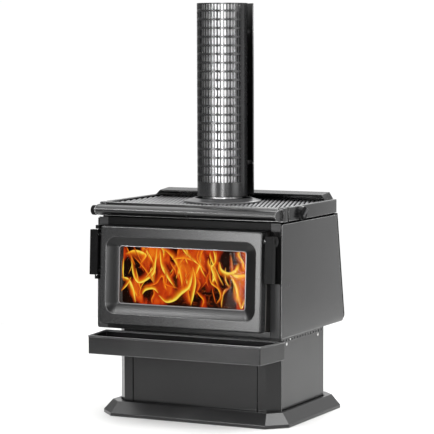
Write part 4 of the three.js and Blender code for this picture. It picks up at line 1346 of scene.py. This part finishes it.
# Main tongues over the window: a curve in shares of its width and height, breadth in mm, side of the
# glow, heat.
TONGUES = (
    (((0.28, 1.02), (0.27, 0.75), (0.25, 0.52), (0.14, 0.36), (0.085, 0.52), (0.07, 0.85)), 26, -1, 0.95),
    (((0.08, 0.84), (0.17, 0.63), (0.22, 0.48), (0.26, 0.36)), 16, 1, 0.7),
    (((0.02, 0.86), (0.1, 0.93), (0.19, 0.86), (0.15, 0.7)), 40, -1, 0.82),
    (((0.31, 1.02), (0.4, 0.84), (0.45, 0.66), (0.475, 0.47), (0.485, 0.28)), 34, 1, 0.78),
    (((0.3, 0.97), (0.315, 0.68), (0.36, 0.5), (0.43, 0.3)), 24, 1, 0.98),
    (((0.47, 1.02), (0.53, 0.87), (0.62, 0.72)), 20, 1, 1.0),
    (((0.4, 0.8), (0.5, 0.83), (0.58, 0.78)), 26, 1, 0.72),
    (((0.57, 0.68), (0.565, 0.5), (0.545, 0.33), (0.48, 0.2), (0.43, 0.09), (0.36, 0.05), (0.3, 0.16)),
     30, -1, 1.0),
    (((0.57, 0.7), (0.595, 0.45), (0.58, 0.2), (0.56, 0.02)), 24, -1, 0.92),
    (((0.62, 1.02), (0.6, 0.85), (0.64, 0.7), (0.68, 0.6)), 22, 1, 0.62),
    (((0.75, 0.98), (0.745, 0.8), (0.715, 0.7), (0.735, 0.55), (0.76, 0.42), (0.775, 0.3)), 18, 1, 0.9),
    (((0.705, 0.72), (0.71, 0.45), (0.77, 0.33), (0.79, 0.2), (0.76, 0.08)), 16, 1, 0.8),
    (((0.78, 0.8), (0.8, 0.67), (0.86, 0.62), (0.91, 0.69), (0.93, 0.78)), 26, -1, 1.0),
    (((0.87, 0.6), (0.93, 0.58), (1.01, 0.62)), 40, -1, 0.9),
    (((0.86, 0.58), (0.9, 0.42), (0.93, 0.2), (0.95, 0.04)), 30, 1, 0.88),
    (((0.93, 0.16), (0.96, 0.02), (0.985, 0.18)), 16, 1, 1.0),
    (((0.17, 0.16), (0.2, 0.24), (0.26, 0.27), (0.3, 0.2)), 24, 1, 0.92),
    (((0.0, 0.46), (0.06, 0.42), (0.1, 0.25), (0.12, 0.02)), 24, -1, 0.98),
    (((0.0, 0.2), (0.05, 0.32), (0.08, 0.46)), 14, 1, 0.85),
    (((0.6, 0.28), (0.63, 0.2), (0.66, 0.12), (0.65, 0.0)), 16, 1, 0.7),
    (((0.18, 0.3), (0.28, 0.36), (0.33, 0.5), (0.36, 0.36), (0.46, 0.3)), 22, 1, 0.62),
)
SPARE_TONGUES = 64


def along_curve(points, steps):
    """Places and unit directions along a smooth curve through the points."""
    points = [Vector(point) for point in points]
    padded = [2 * points[0] - points[1], *points, 2 * points[-1] - points[-2]]
    places = []
    for step in range(steps + 1):
        at = min(step * (len(points) - 1) / steps, len(points) - 1 - 1e-6)
        k, t = int(at), at - int(at)
        a, b, c, d = padded[k:k + 4]
        places.append(0.5 * (2 * b + (c - a) * t + (2 * a - 5 * b + 4 * c - d) * t * t
                             + (3 * b - a - 3 * c + d) * t ** 3))
    return [(place, (places[min(i + 1, steps)] - places[max(i - 1, 0)]).normalized())
            for i, place in enumerate(places)]


def add_tongue(bm, points, breadth, side, heat, depth):
    """A strip with a bright crisp edge on the curve that fades away to one side of it."""
    heat_layer, cover_layer = bm.verts.layers.float["warmth"], bm.verts.layers.float["cover"]
    rows = []
    shares = (-0.09, -0.03, 0.03, 0.12, 0.3, 0.6, 1.0)
    heats = (0.65, 1.12, 1.2, 1.06, 0.86, 0.62, 0.48)
    covers = (0.0, 1.0, 1.0, 0.95, 0.75, 0.4, 0.0)
    steps = 30
    for i, (place, direction) in enumerate(along_curve(points, steps)):
        taper = math.sin(math.pi * (0.04 + 0.92 * i / steps)) ** 0.6
        normal = Vector((-direction.y, direction.x)) * side
        row = []
        for share, warmth, cover in zip(shares, heats, covers):
            spot = place + normal * share * breadth * taper
            vert = bm.verts.new(on_door(spot.x, depth, spot.y))
            vert[heat_layer] = heat * warmth * (0.75 + 0.25 * taper)
            vert[cover_layer] = cover * min(1, 1.3 * taper)
            row.append(vert)
        rows.append(row)
    add_quads(bm, rows)


def flame_tongues():
    """The main tongues and short random ones, all in one mesh."""
    draw = random.Random(21)
    bm = bmesh.new()
    bm.verts.layers.float.new("warmth")
    bm.verts.layers.float.new("cover")
    half, bottom, top, _ = PANE_EDGE
    for number in range(SPARE_TONGUES):
        across, up = draw.uniform(-1.0, 1.0) * half, draw.uniform(bottom, top - 40)
        lean = draw.uniform(-0.5, 0.5)
        points = []
        for _ in range(4):
            points.append((across, up))
            rise = draw.uniform(14, 34)
            lean = 0.5 * lean + draw.uniform(-0.7, 0.7)
            across, up = max(-half, min(half, across + lean * rise)), min(top, up + rise)
        add_tongue(bm, points, draw.uniform(4, 32), draw.choice((-1, 1)), draw.uniform(0.5, 1.0),
                   52 - 0.2 * number)
    for number, (shares, breadth, side, heat) in enumerate(TONGUES):
        points = [((2 * across - 1) * half, bottom + (top - bottom) * up) for across, up in shares]
        add_tongue(bm, points, breadth, side, heat, 42 - 0.4 * number)
    settle(new_object("flame_tongues", bm, 60), flame_ribbons("flame_tongues", 1.0), "stove", "firebrick")


VEILS = (
    # shift of the pattern, strength, level and hiding, then the sheet's half width, low, high, depth,
    # sway and tips
    ("front", (0.0, 1.0, 0.44, 0.93), (262, -110, 112, 56, 1.2, 0.0)),
    ("middle", (3.3, 0.7, 0.7, 0.0), (235, -118, 100, 120, 10, 0.35)),
    ("back", (8.1, 0.5, 0.7, 0.0), (225, -118, 104, 250, 14, 0.3)),
)


def make_fire():
    for name, look, sheet in VEILS:
        flame_sheet("flames_" + name, flame_veil("flame_" + name, *look), *sheet)
    flame_tongues()
    make_log("log_low_left", (-0.225, -0.11, 0.436), (0.075, -0.185, 0.438), 0.036, 3)
    make_log("log_low_right", (-0.03, -0.05, 0.437), (0.232, -0.12, 0.436), 0.037, 5)
    make_log("log_back", (-0.21, 0.03, 0.442), (0.2, 0.045, 0.44), 0.041, 8)
    make_log("log_top", (-0.16, -0.13, 0.5), (0.18, 0.0, 0.503), 0.03, 13)
    ember_bed()


def make_fan():
    soften("fan_housing", 0.8 * MM, SHADED, "stove", "black_sheet")
    soften("fan_motor", 1.5 * MM, FIRED, "stove", "firebox_steel", 2, 50)
    soften("cord_gland", 0.6 * MM, KNOB, "stove", "phenolic", 2, 50)
    restyle("fan_wheel", BRIGHT_STEEL)
    restyle("fan_switch", KNOB)
    bm = bmesh.new()
    centre = Vector((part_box("fan_housing")[0].x - 0.0005, 0.238, 0.250))
    wire, reach = 0.9 * MM, 35.5 * MM
    for k in range(6):
        section = arc(((6 + 5.6 * k) * MM, 0), wire, 0, 315, 7)
        add_turned(bm, section, facing(centre, ACROSS), 40, closed=True)
    for degrees in (0, 45, 90, 135):
        turn = Matrix.Translation(centre) @ Matrix.Rotation(math.radians(degrees), 4, "X")
        add_box(bm, (-0.8 * MM, -reach, -wire), (0.8 * MM, reach, wire), turn)
    settle(new_object("fan_guard_wires", bm, 60), BRIGHT_STEEL, "stove", "stainless")


# ---------------------------------------------------------------- fasteners


def add_screw(bm, place, direction, radius):
    """Domed head with a hexagon socket, set on a washer."""
    matrix = facing(place, direction)
    r, h = radius, radius * 0.55  # of the head
    washer = [(AXIS, 0), (1.35 * r, 0), (1.35 * r, 0.18 * r), (AXIS, 0.19 * r)]
    add_turned(bm, washer, matrix, 24)
    head = [(AXIS, 0.1 * r), (r, 0.12 * r), (0.98 * r, 0.3 * h + 0.1 * r), (0.8 * r, 0.75 * h), (0.45 * r, h)]
    add_turned(bm, head, matrix, 24)
    add_loft(bm, [circle(matrix, 0.42 * r, h * height, 6) for height in (1.001, 0.45)], capped=True)


def make_fasteners():
    side_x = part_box("pedestal_side_right")[1].x
    back_low, back_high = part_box("casing_back")
    bright, dark = bmesh.new(), bmesh.new()
    for side in (1, -1):
        out = ACROSS * side
        for y in (-0.149, 0.133):
            add_screw(bright, (side * side_x, y, 0.291), out, 5.0 * MM)
        add_screw(bright, (side * side_x, -0.116, 0.3055), out, 3.2 * MM)
    for y, z in ((-0.292, 0.7815), (-0.2905, 0.761)):
        add_screw(dark, (0.3688, y, z), ACROSS, 1.9 * MM)
    for z in (0.936, 1.426):
        for degrees in (14, 166):
            angle = math.radians(degrees)
            direction = Vector((math.cos(angle), math.sin(angle), 0))
            add_screw(bright, direction * SHIELD_RADIUS + Vector((0, 0, z)), direction, 2.3 * MM)
    for x in (-0.325, 0.322):
        add_screw(bright, (x, 0.1475, 0.8045), (0, -1, 0), 3.4 * MM)
    back = Vector((0, 414.5, 73)).normalized()  # square to the back sheet, which leans 73 mm in 414.5
    for x in (-0.35, -0.12, 0.12, 0.35):
        for share in (0.06, 0.94):
            y = back_high.y + (CASING_TOP_BACK - back_high.y) * share
            z = back_low.z + (back_high.z - back_low.z) * share
            add_screw(dark, (x, y, z), back, 3.2 * MM)
    settle(new_object("bright_screws", bright, 40), BRIGHT_STEEL, "stove", "stainless")
    settle(new_object("dark_screws", dark, 40), SHADED, "stove", "black_sheet")


# ---------------------------------------------------------------- floor


FLOOR_RADIUS = 2.4
FLOOR_CENTRE = (0.1, 0.55, -0.0005)


def make_floor():
    bm = bmesh.new()
    bm.faces.new([bm.verts.new(place) for place in circle(Matrix.Identity(4), FLOOR_RADIUS, 0, 96)])
    floor = new_object("studio_floor", bm)
    floor.location = FLOOR_CENTRE
    floor.data.materials.append(plain_floor("floor_paint"))


make_camera()
make_studio()
make_base()
make_shelf()
make_casing()
make_top_frame()
make_hob()
make_nose()
make_hood()
make_flue()
make_door()
fan_knob()
air_knob()
make_firebox()
make_fire()
make_fan()
make_fasteners()
make_floor()
